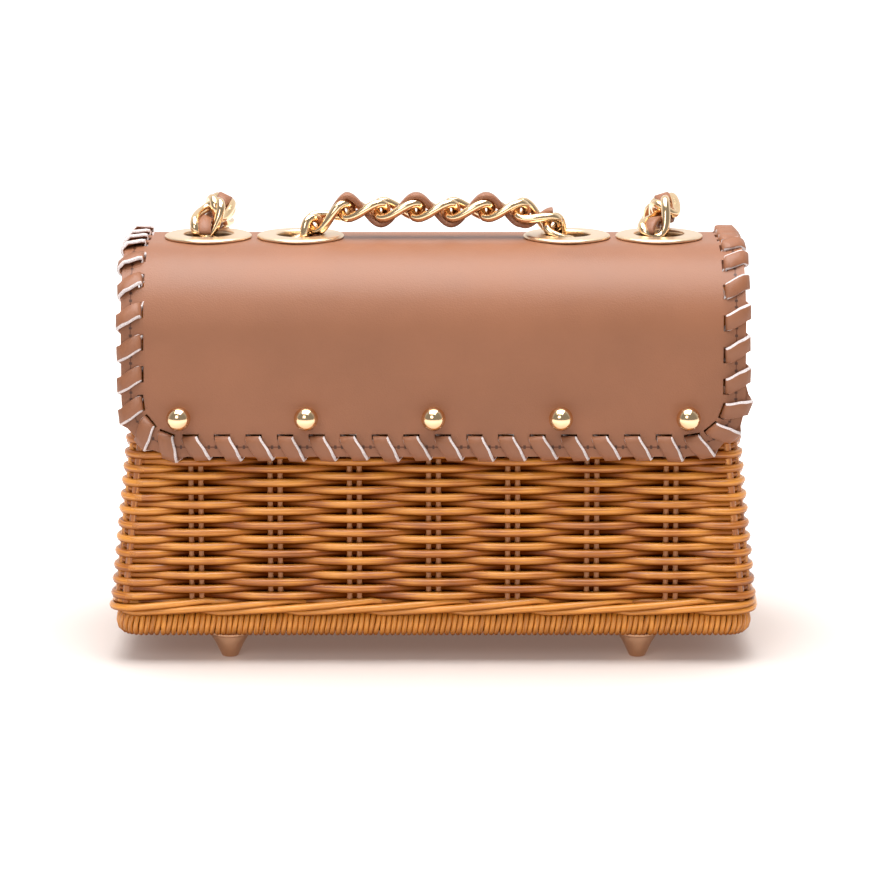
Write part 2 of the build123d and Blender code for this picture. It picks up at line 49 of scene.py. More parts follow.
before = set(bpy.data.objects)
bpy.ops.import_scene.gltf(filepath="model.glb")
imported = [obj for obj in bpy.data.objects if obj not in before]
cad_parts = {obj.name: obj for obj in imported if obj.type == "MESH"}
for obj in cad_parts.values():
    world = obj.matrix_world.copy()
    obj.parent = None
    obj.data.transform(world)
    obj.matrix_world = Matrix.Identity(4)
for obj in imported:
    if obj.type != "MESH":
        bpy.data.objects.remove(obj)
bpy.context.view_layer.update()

# The basket's form in millimetres, near the frame's: the ends stand a little wider and lean a little more
BASKET_SHIFT = 2.4
HALF_WIDTH = 121.6
HALF_DEPTH = 50.5
LEAN = math.radians(5.25)
END_LEAN = math.radians(5.9)
WEAVE_BASE = 19.5
WEAVE_TOP = 104.3
INNER_CREST = 150.25
SHOULDER = 29.0
FOOT_TOP = 11.0
FOOT_PLACE = (77.0, 36.0)
WALL_MIDDLE = 3.6
CREST = 154.0
RING_TOP = 155.6
AXIS_Y = 42.30
AXIS_Z = 108.75

# The weave: how far a row swings out in millimetres, its shares of that, and the stakes it passes
SWING = 2.2
OVER, UNDER = 1.0, -0.42
CORNER_IN, CORNER_OUT, ARCH_END = 0.22, 1.0, 0.75
ROW_CORNER = 5.0
FRONT_STAKES, END_STAKES = 7, 3
STAKE_APART = 1.85
ROW_STEP = 2.6
POST_INSETS, POST_SPAN = (3.4, 6.2), 9.6
FLOOR_ROWS, FLOOR_PITCH, FLOOR_APART = 29, 2.75, 2.0
FLOOR_REACH = (109, 39)

# Diameters in metres of the canes that aren't in the panel
POST_CANE = 0.0034
CORE_CANE = 0.0072
WALING_CANE = 0.0028
FLOOR_CANE, FLOOR_BAR = 0.0026, 0.0018
FRONT_RIM_CANE = 0.0054
RIM_CANE = 0.0044

# The border and the rims in millimetres: heights, and how far in from the basket's outside they lie
BORDER_HEIGHT, BORDER_INSET, BORDER_CORNER, BORDER_CORE = FOOT_TOP + 4.2, 3.9, 8.5, 3.6
WALING_HEIGHT, WALING_CORNER, WALING_FRONT = WEAVE_BASE + 2.4, 6.0, 0.62
FRONT_RIM_HEIGHT, FRONT_RIM_INSET = WEAVE_TOP + 2.76, 7.3
ROD_INSET = 6.0

# The flap's form in millimetres
FLAP_HALF = 115.3
FLAP_BOTTOM = 79.5
FLAP_CORNER = 22.0
LEATHER = 2.0
LEATHER_MIDDLE = 2.75
BACK_EDGE = AXIS_Z + 4.0
GROMMETS = (-85.5, -50.5, 50.5, 85.5)
STUDS = (-94.0, -47.0, 0.0, 47.0, 94.0)
STUD_HEIGHT = 94.0
STITCH = 2.6
HOLE_RADIUS = 10.0
SLOT_HALF, SLOT_IN = (3.0, 1.1, 2.2), 7.25
HINGE_LACES, HINGE_LACE_PITCH = 7, 29.5

# The chain in millimetres
LINK_PITCH = 12.7
LINK_HALF = (8.6, 4.0, 2.8)
RUN_HEIGHT = 166.1
HANDLE_STRETCH = 1.045
HANDLE_SAG = 1.4
RUN_LINKS = 5
BENDS = (25.0, 55.0)
HANDLE_WAVE, HANDLE_WAIST, HANDLE_THICK = 5.4, 4.2, 2.0
STRAP_WAVE, STRAP_WAIST, STRAP_WIDTH, STRAP_THICK = 4.4, 4.0, 5.9, 1.9
STRIP_SHAPE = ((-1, -0.5), (-0.86, -1), (0.86, -1), (1, -0.5), (1, 0.5), (0.86, 1), (-0.86, 1), (-1, 0.5))

# Left half of the strap's route, a little lower over the crest than the frame's
STRAP_HALF = (
    (-85.5, 0.0, 155.1), (-85.5, 0.6, 158.9), (-85.5, 3.2, 161.9), (-85.5, 7.2, 163.4),
    (-85.5, 13.2, 163.9), (-85.5, 22.2, 162.6), (-85.3, 32.5, 159.0), (-85.0, 43.0, 152.6),
    (-84.3, 51.4, 141.6), (-83.2, 56.8, 125.7), (-81.5, 59.0, 105.7), (-79.0, 59.8, 83.2),
    (-75.0, 60.0, 60.0), (-65.5, 60.0, 38.5), (-47.5, 60.0, 22.5), (-20.0, 60.0, 14.5),
)
# How far the first points of both halves lie to the right of that
STRAP_LEAN = (-1.5, -1.5, 0.0, 2.0, 3.5, 3.5, 2.5, 1.0)
STRAP_SAMPLES = 12

# The stage in metres: name, place, aim, size and watts of each light, then the camera
LIGHTS = (
    ("top_light", (-0.02, -0.08, 0.9), (0, 0, 0.1), 0.8, 14.0),
    ("front_box", (-0.35, -1.1, 0.75), (0, 0, 0.1), 0.5, 3.0),
)
GROUND_HALF, GROUND_LEVEL = 9e3, -0.2
LENS = 138.4
CAMERA_RISE, CAMERA_AWAY = math.radians(12.2), 1.302
CAMERA_AIM = Vector((0.0026, BASKET_SHIFT / 1000, 0.0752))

RIGHT, BACK, UP = np.eye(3)
WHITE, BLACK = (1, 1, 1), (0, 0, 0)


def linear(hex_colour):
    """An sRGB hex colour as linear red, green and blue."""
    parts = [int(hex_colour[i:i + 2], 16) / 255 for i in (1, 3, 5)]
    return tuple(c / 12.92 if c <= 0.04045 else ((c + 0.055) / 1.055) ** 2.4 for c in parts)


def colour(name, hex_colour, words):
    """A colour property."""
    return bpy.props.FloatVectorProperty(
        name=name, description=words, default=linear(hex_colour), subtype="COLOR", size=3, min=0, max=1)


def length(name, millimetres, words):
    """A length property, in metres."""
    return bpy.props.FloatProperty(
        name=name, description=words, default=millimetres / 1000, unit="LENGTH", min=0, precision=5)


class BagSizes(bpy.types.PropertyGroup):
    """Sizes that a maker would change."""

    cane: length("Cane", 3.15, "Diameter of the woven canes")
    row: length("Row", 2.65, "Height of a row")
    stake: length("Stake", 2.4, "Diameter of the upright stakes")
    stake_pitch: length("Stake pitch", 29.5, "From one pair of stakes to the next")
    border_strand: length("Border strand", 2.05, "Width of a strand of the wrapped border")
    lace_width: length("Lace width", 5.8, "Width of the lace round the flap")
    lace_pitch: length("Lace pitch", 11.6, "From one wrap of the lace to the next")
    lace_thickness: length("Lace thickness", 1.5, "Thickness of the lace")
    stud: length("Stud", 9.0, "Diameter of a ball stud")
    wire: length("Wire", 3.4, "Diameter of the chain's wire")
    strip: length("Strip", 7.4, "Width of the strip woven through the handle")
    seed: bpy.props.IntProperty(name="Seed", description="Start of the random variation", default=7, min=0)


class BagColours(bpy.types.PropertyGroup):
    """Colours that a maker would change."""

    cane_light: colour("Cane light", "#DB9036", "Lightest stretches of the canes")
    cane_middle: colour("Cane middle", "#AD6119", "Usual colour of the canes")
    cane_dark: colour("Cane dark", "#50280A", "Darkest streaks of the canes")
    stake: colour("Stake", "#A9662B", "Upright stakes")
    leather: colour("Leather", "#8B5A3F", "Smooth side of the leather")
    raw_edge: colour("Raw edge", "#DCD0CE", "Cut edges of the leather and lace")
    gold: colour("Gold", "#F2D1A6", "Polished fittings")
    ring_gold: colour("Ring gold", "#F4D9B8", "Flat grommets")
    foot_gold: colour("Foot gold", "#D2A988", "Satin feet")


# Points and lines
def to_frame(points):
    """Millimetres from the basket's middle as metres in the frame."""
    return (np.asarray(points, float).reshape(-1, 3) + (0, BASKET_SHIFT, 0)) / 1000


def unit(vectors):
    """Vectors at length one."""
    vectors = np.asarray(vectors, float)
    return vectors / np.linalg.norm(vectors, axis=-1, keepdims=True)


def ways_along(line):
    """The way a line of points goes at each of them."""
    return unit(np.gradient(line, axis=0))


def lengths(points):
    """Distance along a line of points at each of them."""
    steps = np.linalg.norm(np.diff(points, axis=0), axis=1)
    return np.concatenate([[0], np.cumsum(steps)])


def between(at, along, values):
    """Rows of values given along a line, read at other places on it."""
    return np.stack([np.interp(at, along, column) for column in np.transpose(values)], -1)


def closed_loop(points):
    """Points with the first one again at the end."""
    return np.vstack([points, points[:1]])


def full_turn(steps):
    """Even angles round a circle."""
    return np.linspace(0, 2 * math.pi, steps, endpoint=False)


# Objects
def new_object(name, data):
    """A linked object that holds a mesh, a curve, a light or a camera."""
    made = bpy.data.objects.new(name, data)
    bpy.context.scene.collection.objects.link(made)
    return made


def aimed(name, data, place, aim):
    """A light or camera at a place, turned to look at a point."""
    made = new_object(name, data)
    made.location = place
    made.rotation_euler = (Vector(aim) - Vector(place)).to_track_quat("-Z", "Y").to_euler()
    return made


def mesh_object(name, points, faces=(), edges=(), local=False):
    """An object from points in millimetres; a local one keeps its own middle."""
    mesh = bpy.data.meshes.new(name)
    metres = np.asarray(points, float).reshape(-1, 3) / 1000 if local else to_frame(points)
    mesh.from_pydata(metres.tolist(), list(edges), list(faces))
    mesh.update()
    return new_object(name, mesh)


def keep(made, name, kind, values, domain="POINT"):
    """Store values on a mesh as a named attribute."""
    stored = made.data.attributes.new(name, kind, domain)
    stored.data.foreach_set("vector" if kind == "FLOAT_VECTOR" else "value", np.ravel(values))


def evaluated_mesh(made):
    """A plain mesh of what an object evaluates to."""
    graph = bpy.context.evaluated_depsgraph_get()
    return bpy.data.meshes.new_from_object(
        made.evaluated_get(graph), preserve_all_data_layers=True, depsgraph=graph)


def settled(made, name):
    """The evaluated object as a plain mesh under a new name."""
    mesh = evaluated_mesh(made)
    mesh.name = name
    old = made.data
    bpy.data.objects.remove(made)
    if not old.users:
        bpy.data.meshes.remove(old)
    return new_object(name, mesh)


def joined(name, pieces):
    """Several mesh objects as one."""
    with bpy.context.temp_override(active_object=pieces[0], selected_editable_objects=pieces):
        bpy.ops.object.join()
    pieces[0].name = name
    return pieces[0]


def smooth(made):
    """Smooth shading over all faces."""
    made.data.polygons.foreach_set("use_smooth", np.ones(len(made.data.polygons), bool))
    return made


def done(made, body, slot, *nodes):
    """Hand a finished piece to the frame."""
    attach(made, body)
    if nodes:
        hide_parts(*nodes)


# Node trees
def feed(made, inputs):
    """Link or set a node's inputs by name or place; a node stands for its first output in use."""
    for key, value in inputs.items():
        if isinstance(key, int):
            socket = made.inputs[key]
        else:
            socket = next(s for s in made.inputs if s.name == key and s.enabled)
        if isinstance(value, bpy.types.Node):
            value = next(s for s in value.outputs if s.enabled)
        if isinstance(value, bpy.types.NodeSocket):
            made.id_data.links.new(value, socket)
        else:
            socket.default_value = value


def node(tree, kind, inputs=None, stops=(), **settings):
    """Add a node with its settings, its inputs and a ramp's stops."""
    made = tree.nodes.new(kind)
    for key, value in settings.items():
        setattr(made, key, value)
    feed(made, inputs or {})
    if stops:
        elements = made.color_ramp.elements
        while len(elements) < len(stops):
            elements.new(0.5)
        for element, (place, value) in zip(elements, stops):
            element.position, element.color = place, (*value, 1)
    return made


def new_tree(name, sockets):
    """A geometry node tree with named inputs, what adds a node to it, and what the inputs give."""
    tree = bpy.data.node_groups.new(name, "GeometryNodeTree")
    tree.interface.new_socket("Geometry", in_out="INPUT", socket_type="NodeSocketGeometry")
    tree.interface.new_socket("Geometry", in_out="OUTPUT", socket_type="NodeSocketGeometry")
    for label, kind in sockets:
        tree.interface.new_socket(label, in_out="INPUT", socket_type="NodeSocket" + kind)
    return tree, functools.partial(node, tree), tree.nodes.new("NodeGroupInput").outputs


def grown(made, tree, name, **values):
    """Run a tree on an object and keep the result as a plain mesh."""
    modifier = made.modifiers.new("grow", "NODES")
    modifier.node_group = tree
    for item in tree.interface.items_tree:
        key = item.name.lower().replace(" ", "_")
        if item.in_out == "INPUT" and key in values:
            modifier[item.identifier] = values[key]
    return settled(made, name)


def cane_tree():
    """Round canes along lines, with a tone for each and its run and ring kept as attributes."""
    tree, add, asked = new_tree("Round canes", (
        ("Radius", "Float"), ("Sides", "Int"), ("Seed", "Int"), ("Material", "Material")))
    lines = add("GeometryNodeMeshToCurve", {"Mesh": asked["Geometry"]})
    index = add("GeometryNodeInputIndex")
    chance = add("FunctionNodeRandomValue", {
        2: 0.0, 3: 1.0, "ID": index, "Seed": asked["Seed"]}, data_type="FLOAT")
    tone = add("GeometryNodeStoreNamedAttribute", {
        "Geometry": lines, "Name": "tone", "Value": chance}, data_type="FLOAT", domain="CURVE")
    along = add("GeometryNodeSplineParameter")
    run = add("GeometryNodeStoreNamedAttribute", {
        "Geometry": tone, "Name": "run", "Value": along.outputs["Length"]}, data_type="FLOAT", domain="POINT")
    circle = add("GeometryNodeCurvePrimitiveCircle", {
        "Resolution": asked["Sides"], "Radius": asked["Radius"]})
    place = add("GeometryNodeInputPosition")
    ring = add("GeometryNodeStoreNamedAttribute", {
        "Geometry": circle, "Name": "ring", "Value": place}, data_type="FLOAT_VECTOR", domain="POINT")
    tube = add("GeometryNodeCurveToMesh", {"Curve": run, "Profile Curve": ring, "Fill Caps": True})
    soft = add("GeometryNodeSetShadeSmooth", {"Geometry": tube})
    real = add("GeometryNodeRealizeInstances", {"Geometry": soft})
    paint = add("GeometryNodeSetMaterial", {"Geometry": real, "Material": asked["Material"]})
    add("NodeGroupOutput", {"Geometry": paint})
    return tree


def piece_tree():
    """A piece set on points, turned by their way and out attributes and a little by chance."""
    tree, add, asked = new_tree("Pieces on a path", (
        ("Piece", "Object"), ("Turn", "Float"), ("Seed", "Int"),
        ("Material", "Material"), ("Edge Material", "Material")))
    way = add("GeometryNodeInputNamedAttribute", {"Name": "way"}, data_type="FLOAT_VECTOR")
    out = add("GeometryNodeInputNamedAttribute", {"Name": "out"}, data_type="FLOAT_VECTOR")
    turn = add("FunctionNodeAxesToRotation", {
        "Primary Axis": out, "Secondary Axis": way}, primary_axis="Z", secondary_axis="X")
    back = add("ShaderNodeMath", {0: asked["Turn"], 1: -1.0}, operation="MULTIPLY")
    index = add("GeometryNodeInputIndex")
    chance = add("FunctionNodeRandomValue", {
        2: back, 3: asked["Turn"], "ID": index, "Seed": asked["Seed"]}, data_type="FLOAT")
    angle = add("ShaderNodeCombineXYZ", {"Z": chance})
    little = add("FunctionNodeEulerToRotation", {"Euler": angle})
    both = add("FunctionNodeRotateRotation", {
        "Rotation": turn, "Rotate By": little}, rotation_space="LOCAL")
    piece = add("GeometryNodeObjectInfo", {"Object": asked["Piece"], "As Instance": True})
    points = add("GeometryNodeMeshToPoints", {"Mesh": asked["Geometry"]})
    set_out = add("GeometryNodeInstanceOnPoints", {
        "Points": points, "Instance": piece.outputs["Geometry"], "Rotation": both})
    shade = add("FunctionNodeRandomValue", {
        2: 0.0, 3: 1.0, "ID": index, "Seed": asked["Seed"]}, data_type="FLOAT")
    tone = add("GeometryNodeStoreNamedAttribute", {
        "Geometry": set_out, "Name": "tone", "Value": shade}, data_type="FLOAT", domain="INSTANCE")
    real = add("GeometryNodeRealizeInstances", {"Geometry": tone})
    paint = add("GeometryNodeSetMaterial", {"Geometry": real, "Material": asked["Material"]})
    raw = add("GeometryNodeInputNamedAttribute", {"Name": "raw"}, data_type="BOOLEAN")
    edge = add("GeometryNodeSetMaterial", {
        "Geometry": paint, "Selection": raw, "Material": asked["Edge Material"]})
    add("NodeGroupOutput", {"Geometry": edge})
    return tree


def kept_tree(name, make):
    """A tree by name, made the first time it is asked for."""
    return bpy.data.node_groups.get(name) or make()


def canes(name, lines, diameter, material, sides=8, seed=0):
    """Round canes along lines of points, with a depth as fourth number; a line whose ends meet is closed."""
    points, edges = [], []
    for line in lines:
        line = np.asarray(line, float)
        line = line if line.shape[1] == 4 else np.hstack([line, np.zeros((len(line), 1))])
        closed = np.allclose(line[0], line[-1])
        line = line[:-1] if closed else line
        first = len(points)
        points.extend(line.tolist())
        edges.extend((first + i, first + i + 1) for i in range(len(line) - 1))
        if closed:
            edges.append((first + len(line) - 1, first))
    points = np.array(points)
    made = mesh_object(name + "_lines", points[:, :3], edges=edges)
    keep(made, "sink", "FLOAT", points[:, 3])
    tree = kept_tree("Round canes", cane_tree)
    return grown(
        made, tree, name, radius=diameter / 2, sides=sides, seed=seed, material=bag_material(material))


def pieces(name, piece, places, material, edge_material=None, turn=0.0, seed=0):
    """A piece set at places, each a point in millimetres, a way along and a way out."""
    points, ways, outs = (np.array(column, float) for column in zip(*places))
    made = mesh_object(name + "_places", points)
    keep(made, "way", "FLOAT_VECTOR", ways)
    keep(made, "out", "FLOAT_VECTOR", outs)
    tree = kept_tree("Pieces on a path", piece_tree)
    set_out = grown(
        made, tree, name, piece=piece, turn=turn, seed=seed, material=bag_material(material),
        edge_material=bag_material(edge_material or material))
    mesh = piece.data
    bpy.data.objects.remove(piece)
    bpy.data.meshes.remove(mesh)
    return set_out


# Materials
def new_material(name):
    """A material, what adds a node to it, its main shader and the coordinates it can use."""
    made = bpy.data.materials.new(name)
    made.use_nodes = True
    add = functools.partial(node, made.node_tree)
    return made, add, made.node_tree.nodes["Principled BSDF"], add("ShaderNodeTexCoord").outputs


def scaled(tint, amount):
    """A colour made lighter or darker."""
    return tuple(part * amount for part in tint)


def rattan(name, light, middle, dark, gloss, vary):
    """Peeled rattan core under clear lacquer: long fibre streaks, uneven golden tones, a soft gloss."""
    made, add, shader, place = new_material(name)
    ring, run, tone, sink = (
        add("ShaderNodeAttribute", attribute_name=label).outputs for label in ("ring", "run", "tone", "sink"))
    # Fibres are about 0.6 mm wide and 22 mm long, coarser than real ones so that they show
    across = add("ShaderNodeVectorMath", {0: ring["Vector"], 1: (1600, 1600, 0)}, operation="MULTIPLY")
    lengthwise = add("ShaderNodeMath", {0: run["Fac"], 1: 45.0}, operation="MULTIPLY")
    shift = add("ShaderNodeMath", {0: tone["Fac"], 1: 90.0, 2: lengthwise}, operation="MULTIPLY_ADD")
    upright = add("ShaderNodeCombineXYZ", {"Z": shift})
    fibre_place = add("ShaderNodeVectorMath", {0: across, 1: upright}, operation="ADD")
    fibre = add("ShaderNodeTexNoise", {
        "Vector": fibre_place, "Scale": 1.0, "Detail": 3.0, "Roughness": 0.6})
    stretch = add("ShaderNodeTexNoise", {"W": shift, "Scale": 1.4, "Detail": 1.0}, noise_dimensions="1D")
    mixed = add("ShaderNodeMath", {0: fibre, 1: 0.55}, operation="MULTIPLY")
    for part, share in ((stretch, 0.40), (tone["Fac"], 0.22)):
        mixed = add("ShaderNodeMath", {0: part, 1: share * vary, 2: mixed}, operation="MULTIPLY_ADD")
    mixed = add("ShaderNodeMath", {0: mixed, 1: 0.31 * (1 - vary)}, operation="ADD")
    tint = add("ShaderNodeValToRGB", {"Fac": mixed}, stops=(
        (0.30, dark), (0.50, middle), (0.66, light), (0.85, light)))
    # Painted shade: a cane is darker where it dives behind a stake
    dive_shade = add("ShaderNodeValToRGB", {"Fac": sink["Fac"]}, stops=(
        (0.0, WHITE), (0.5, (0.62, 0.50, 0.34)), (1.0, (0.22, 0.12, 0.04))))
    # Painted shade on the underside of a cane too, which draws a dark line between two rows
    slope = add("ShaderNodeSeparateXYZ", {0: place["Normal"]})
    lit = add("ShaderNodeMapRange", {"Value": slope.outputs["Z"], "From Min": -0.9, "From Max": -0.05})
    underside_shade = add("ShaderNodeValToRGB", {"Fac": lit}, stops=((0.0, (0.26, 0.15, 0.07)), (1.0, WHITE)))
    for shadow in (dive_shade, underside_shade):
        tint = add("ShaderNodeMix", {0: 1.0, 6: tint, 7: shadow}, data_type="RGBA", blend_type="MULTIPLY")
    # Painted shade on the gloss as well: it is turned down where a cane dives behind a stake and on its underside
    clear = add("ShaderNodeMath", {0: 1.0, 1: sink["Fac"]}, operation="SUBTRACT")
    shown = add("ShaderNodeMath", {0: clear, 1: lit}, operation="MULTIPLY")
    gleam = add("ShaderNodeMath", {0: shown, 1: 0.45}, operation="MULTIPLY")
    rough = add("ShaderNodeMapRange", {"Value": fibre, "To Min": gloss, "To Max": gloss + 0.2})
    bump = add("ShaderNodeBump", {"Height": fibre, "Strength": 0.35, "Distance": 0.0002})
    feed(shader, {
        "Base Color": tint, "Specular IOR Level": gleam, "Coat Weight": gleam, "Coat Roughness": 0.22,
        "Roughness": rough, "Normal": bump})
    return made


def smooth_leather(name, base, grain):
    """Corrected calf leather: fine even grain, faint clouding, a satin finish and a pressed line by the edge."""
    made, add, shader, place = new_material(name)
    # Pores lie a grain's millimetres apart, coarser than real ones so that they show, and clouds are 26 mm across
    pores = add("ShaderNodeTexVoronoi", {"Vector": place["Object"], "Scale": 1000 / grain})
    cloud = add("ShaderNodeTexNoise", {"Vector": place["Object"], "Scale": 38.0, "Detail": 3.0})
    shade = add("ShaderNodeValToRGB", {"Fac": cloud}, stops=(
        (0.3, scaled(base, 0.93)), (0.7, scaled(base, 1.05))))
    # The line lies 3.6 mm in, with a row of stitch holes on it
    edge, along = (
        add("ShaderNodeAttribute", attribute_name=label).outputs["Fac"] for label in ("edge", "along"))
    pressed = (0.5, 0.38, 0.32)
    line = add("ShaderNodeValToRGB", {"Fac": edge}, stops=(
        (0.0, WHITE), (0.325, WHITE), (0.345, pressed), (0.37, pressed), (0.39, WHITE), (1.0, WHITE)))
    band = add("ShaderNodeValToRGB", {"Fac": edge}, stops=(
        (0.0, BLACK), (0.29, BLACK), (0.32, WHITE), (0.40, WHITE), (0.43, BLACK), (1.0, BLACK)))
    turn = add("ShaderNodeMath", {0: along, 1: 2 * math.pi / STITCH}, operation="MULTIPLY")
    wave = add("ShaderNodeMath", {0: turn}, operation="SINE")
    holes = add("ShaderNodeMath", {0: wave, 1: 0.45}, operation="GREATER_THAN")
    dots = add("ShaderNodeMath", {0: band, 1: holes}, operation="MULTIPLY")
    tint = add("ShaderNodeMix", {0: 1.0, 6: shade, 7: line}, data_type="RGBA", blend_type="MULTIPLY")
    tint = add("ShaderNodeMix", {0: dots, 6: tint, 7: (0.07, 0.025, 0.012, 1)}, data_type="RGBA")
    rough = add("ShaderNodeMapRange", {"Value": cloud, "To Min": 0.36, "To Max": 0.5})
    bump = add("ShaderNodeBump", {"Height": pores, "Strength": 0.3, "Distance": 0.0002})
    feed(shader, {"Base Color": tint, "Roughness": rough, "Normal": bump, "Specular IOR Level": 0.38})
    return made


def raw_leather(name, base):
    """Cut leather edge: pale split fibres, quite matt."""
    made, add, shader, place = new_material(name)
    # Split fibres are about 0.4 mm across
    fibres = add("ShaderNodeTexNoise", {"Vector": place["Object"], "Scale": 2500.0, "Detail": 4.0})
    shade = add("ShaderNodeValToRGB", {"Fac": fibres}, stops=((0.3, scaled(base, 0.6)), (0.6, base)))
    feed(shader, {"Base Color": shade, "Roughness": 0.85})
    return made


def plated(name, base, roughness, scratch):
    """Plated zinc fitting: a bright metal skin with fine polishing marks."""
    made, add, shader, place = new_material(name)
    # Marks are about 2.4 mm across, coarser than real ones so that they show
    marks = add("ShaderNodeTexNoise", {"Vector": place["Object"], "Scale": 420.0, "Detail": 4.0})
    shade = add("ShaderNodeValToRGB", {"Fac": marks}, stops=((0.3, scaled(base, 0.94)), (0.7, base)))
    rough = add("ShaderNodeMapRange", {
        "Value": marks, "To Min": roughness, "To Max": roughness + scratch})
    feed(shader, {"Base Color": shade, "Roughness": rough, "Metallic": 1.0})
    return made


def studio_paper(name):
    """White paper, matt; it glows away from the bag, so the ground stays white and the shadow below it dark."""
    made, add, shader, place = new_material(name)
    # Mottle is about 125 mm across
    mottle = add("ShaderNodeTexNoise", {"Vector": place["Object"], "Scale": 8.0})
    shade = add("ShaderNodeValToRGB", {"Fac": mottle}, stops=(
        (0.0, (0.64, 0.60, 0.57)), (1.0, (0.66, 0.62, 0.59))))
    away = add("ShaderNodeVectorMath", {0: place["Object"], 1: (0.75, 1.0, 0.0)}, operation="MULTIPLY")
    reach = add("ShaderNodeVectorMath", {0: away}, operation="LENGTH")
    glow = add("ShaderNodeMapRange", {
        "Value": reach.outputs["Value"], "From Min": 0.07, "From Max": 0.38, "To Min": 0.17, "To Max": 0.9},
        interpolation_type="SMOOTHSTEP")
    # Painted light: close to the bag the glow is warm, which tints the shadow below it brown
    warm_shadow_glow = add("ShaderNodeValToRGB", {"Fac": glow}, stops=((0.17, (1, 0.66, 0.52)), (0.25, WHITE)))
    feed(shader, {
        "Base Color": shade, "Roughness": 0.9, "Emission Strength": glow, "Emission Color": warm_shadow_glow})
    return made


def bag_material(name):
    """A finish by name, made the first time it is asked for."""
    c = bpy.context.scene.bag_colours
    light, middle, dark, stake = (tuple(tint) for tint in (c.cane_light, c.cane_middle, c.cane_dark, c.stake))
    halfway = tuple((v + w) / 2 for v, w in zip(light, middle))
    deep = scaled(dark, 0.45)
    make, *values = {
        "lacquered_rattan": (rattan, light, middle, dark, 0.30, 0.7),
        "border_rattan": (rattan, scaled(light, 1.12), halfway, dark, 0.30, 0.35),
        "peeled_stake": (rattan, scaled(stake, 1.15), stake, scaled(stake, 0.6), 0.4, 0.5),
        "shaded_core": (rattan, dark, deep, deep, 0.6, 0.5),
        "smooth_leather": (smooth_leather, tuple(c.leather), 0.55),
        "cut_leather_edge": (raw_leather, tuple(c.raw_edge)),
        "polished_gold_plate": (plated, tuple(c.gold), 0.10, 0.06),
        "pale_gold_plate": (plated, tuple(c.ring_gold), 0.28, 0.08),
        "satin_gold_plate": (plated, tuple(c.foot_gold), 0.34, 0.1),
        "nickel_plate": (plated, linear("#B8B6B0"), 0.3, 0.1),
        "white_studio_paper": (studio_paper,),
    }[name]
    return bpy.data.materials.get(name) or make(name, *values)


# Shapes shared by several pieces
def half_width(z):
    """Half the basket's width over the canes at a height."""
    return HALF_WIDTH - (z - WEAVE_BASE) * math.tan(END_LEAN)


def half_depth(z):
    """Half the basket's depth over the canes at a height."""
    return HALF_DEPTH - (z - WEAVE_BASE) * math.tan(LEAN)


def arch(swell, front_low, back_low, step=1.5):
    """Points and outward normals of the bag's section, moved out by a distance, front to back."""
    base = HALF_DEPTH + swell / math.cos(LEAN)
    crest = INNER_CREST + swell
    top = base - (crest - WEAVE_BASE) * math.tan(LEAN)
    radius = SHOULDER + swell
    turn = math.pi / 2 - LEAN
    reach = radius * math.tan(turn / 2)
    centre_y, centre_z = top - reach, crest - radius
    arc_z = crest - reach * math.cos(LEAN)
    points, normals = [], []

    def wall(side, heights):
        for z in heights:
            points.append((side * (base - (z - WEAVE_BASE) * math.tan(LEAN)), z))
            normals.append((side * math.cos(LEAN), math.sin(LEAN)))

    def shoulder(side, angles):
        for angle in angles:
            normals.append((side * math.sin(angle), math.cos(angle)))
            points.append((side * (centre_y + radius * math.sin(angle)), centre_z + radius * math.cos(angle)))

    front_steps, back_steps = (max(2, int((arc_z - low) / step)) for low in (front_low, back_low))
    angles = np.linspace(0, turn, int(radius * turn / step))
    wall(-1, np.linspace(front_low, arc_z, front_steps, endpoint=False))
    shoulder(-1, angles[::-1])
    for y in np.linspace(-centre_y, centre_y, int(2 * centre_y / step) + 2)[1:-1]:
        points.append((y, crest))
        normals.append((0, 1))
    shoulder(1, angles)
    wall(1, np.linspace(arc_z, back_low, back_steps)[1:])
    return np.array(points), np.array(normals)


def skin(rings, sides, closed=False):
    """Faces from each ring of points to the next; a run that isn't closed gets its two ends."""
    faces = []
    for i in range(rings if closed else rings - 1):
        j = (i + 1) % rings
        for k in range(sides):
            m = (k + 1) % sides
            faces.append((i * sides + k, i * sides + m, j * sides + m, j * sides + k))
    if not closed:
        last = (rings - 1) * sides
        faces += [tuple(reversed(range(sides))), tuple(range(last, last + sides))]
    return faces


def outward(made, close=False):
    """Turn all faces outwards; a shape to be closed first has its points merged and its ends filled."""
    work = bmesh.new()
    work.from_mesh(made.data)
    if close:
        bmesh.ops.remove_doubles(work, verts=work.verts, dist=1e-6)
        bmesh.ops.dissolve_degenerate(work, edges=work.edges, dist=1e-7)
        bmesh.ops.holes_fill(work, edges=[edge for edge in work.edges if edge.is_boundary])
    bmesh.ops.recalc_face_normals(work, faces=work.faces)
    work.to_mesh(made.data)
    work.free()
    return made


def swept(name, path, wides, ups, section, raw_sides=(), local=True):
    """A closed section swept along points; its ends and the sides named are kept as cut edges."""
    points = [centre + wide * a + up * b for centre, wide, up in zip(path, wides, ups) for a, b in section]
    made = mesh_object(name, points, skin(len(path), len(section)), local=local)
    raw = [side in raw_sides for side in range(len(section))] * (len(path) - 1) + [True, True]
    keep(made, "raw", "BOOLEAN", raw, "FACE")
    return smooth(outward(made))


def turned(name, profile, steps=48):
    """A local solid turned round Z from (radius, height) points."""
    points, faces = [], []
    n = len(profile)
    for i, angle in enumerate(full_turn(steps)):
        j = (i + 1) % steps
        points.extend((r * math.cos(angle), r * math.sin(angle), z) for r, z in profile)
        faces.extend((i * n + k, j * n + k, j * n + k + 1, i * n + k + 1) for k in range(n - 1))
    return smooth(outward(mesh_object(name, points, faces, local=True), close=True))


def arc(centre, radius, start, end, steps):
    """(radius, height) points on an arc, with its angles in degrees."""
    angles = np.radians(np.linspace(start, end, steps))
    return [(centre[0] + radius * math.cos(a), centre[1] + radius * math.sin(a)) for a in angles]


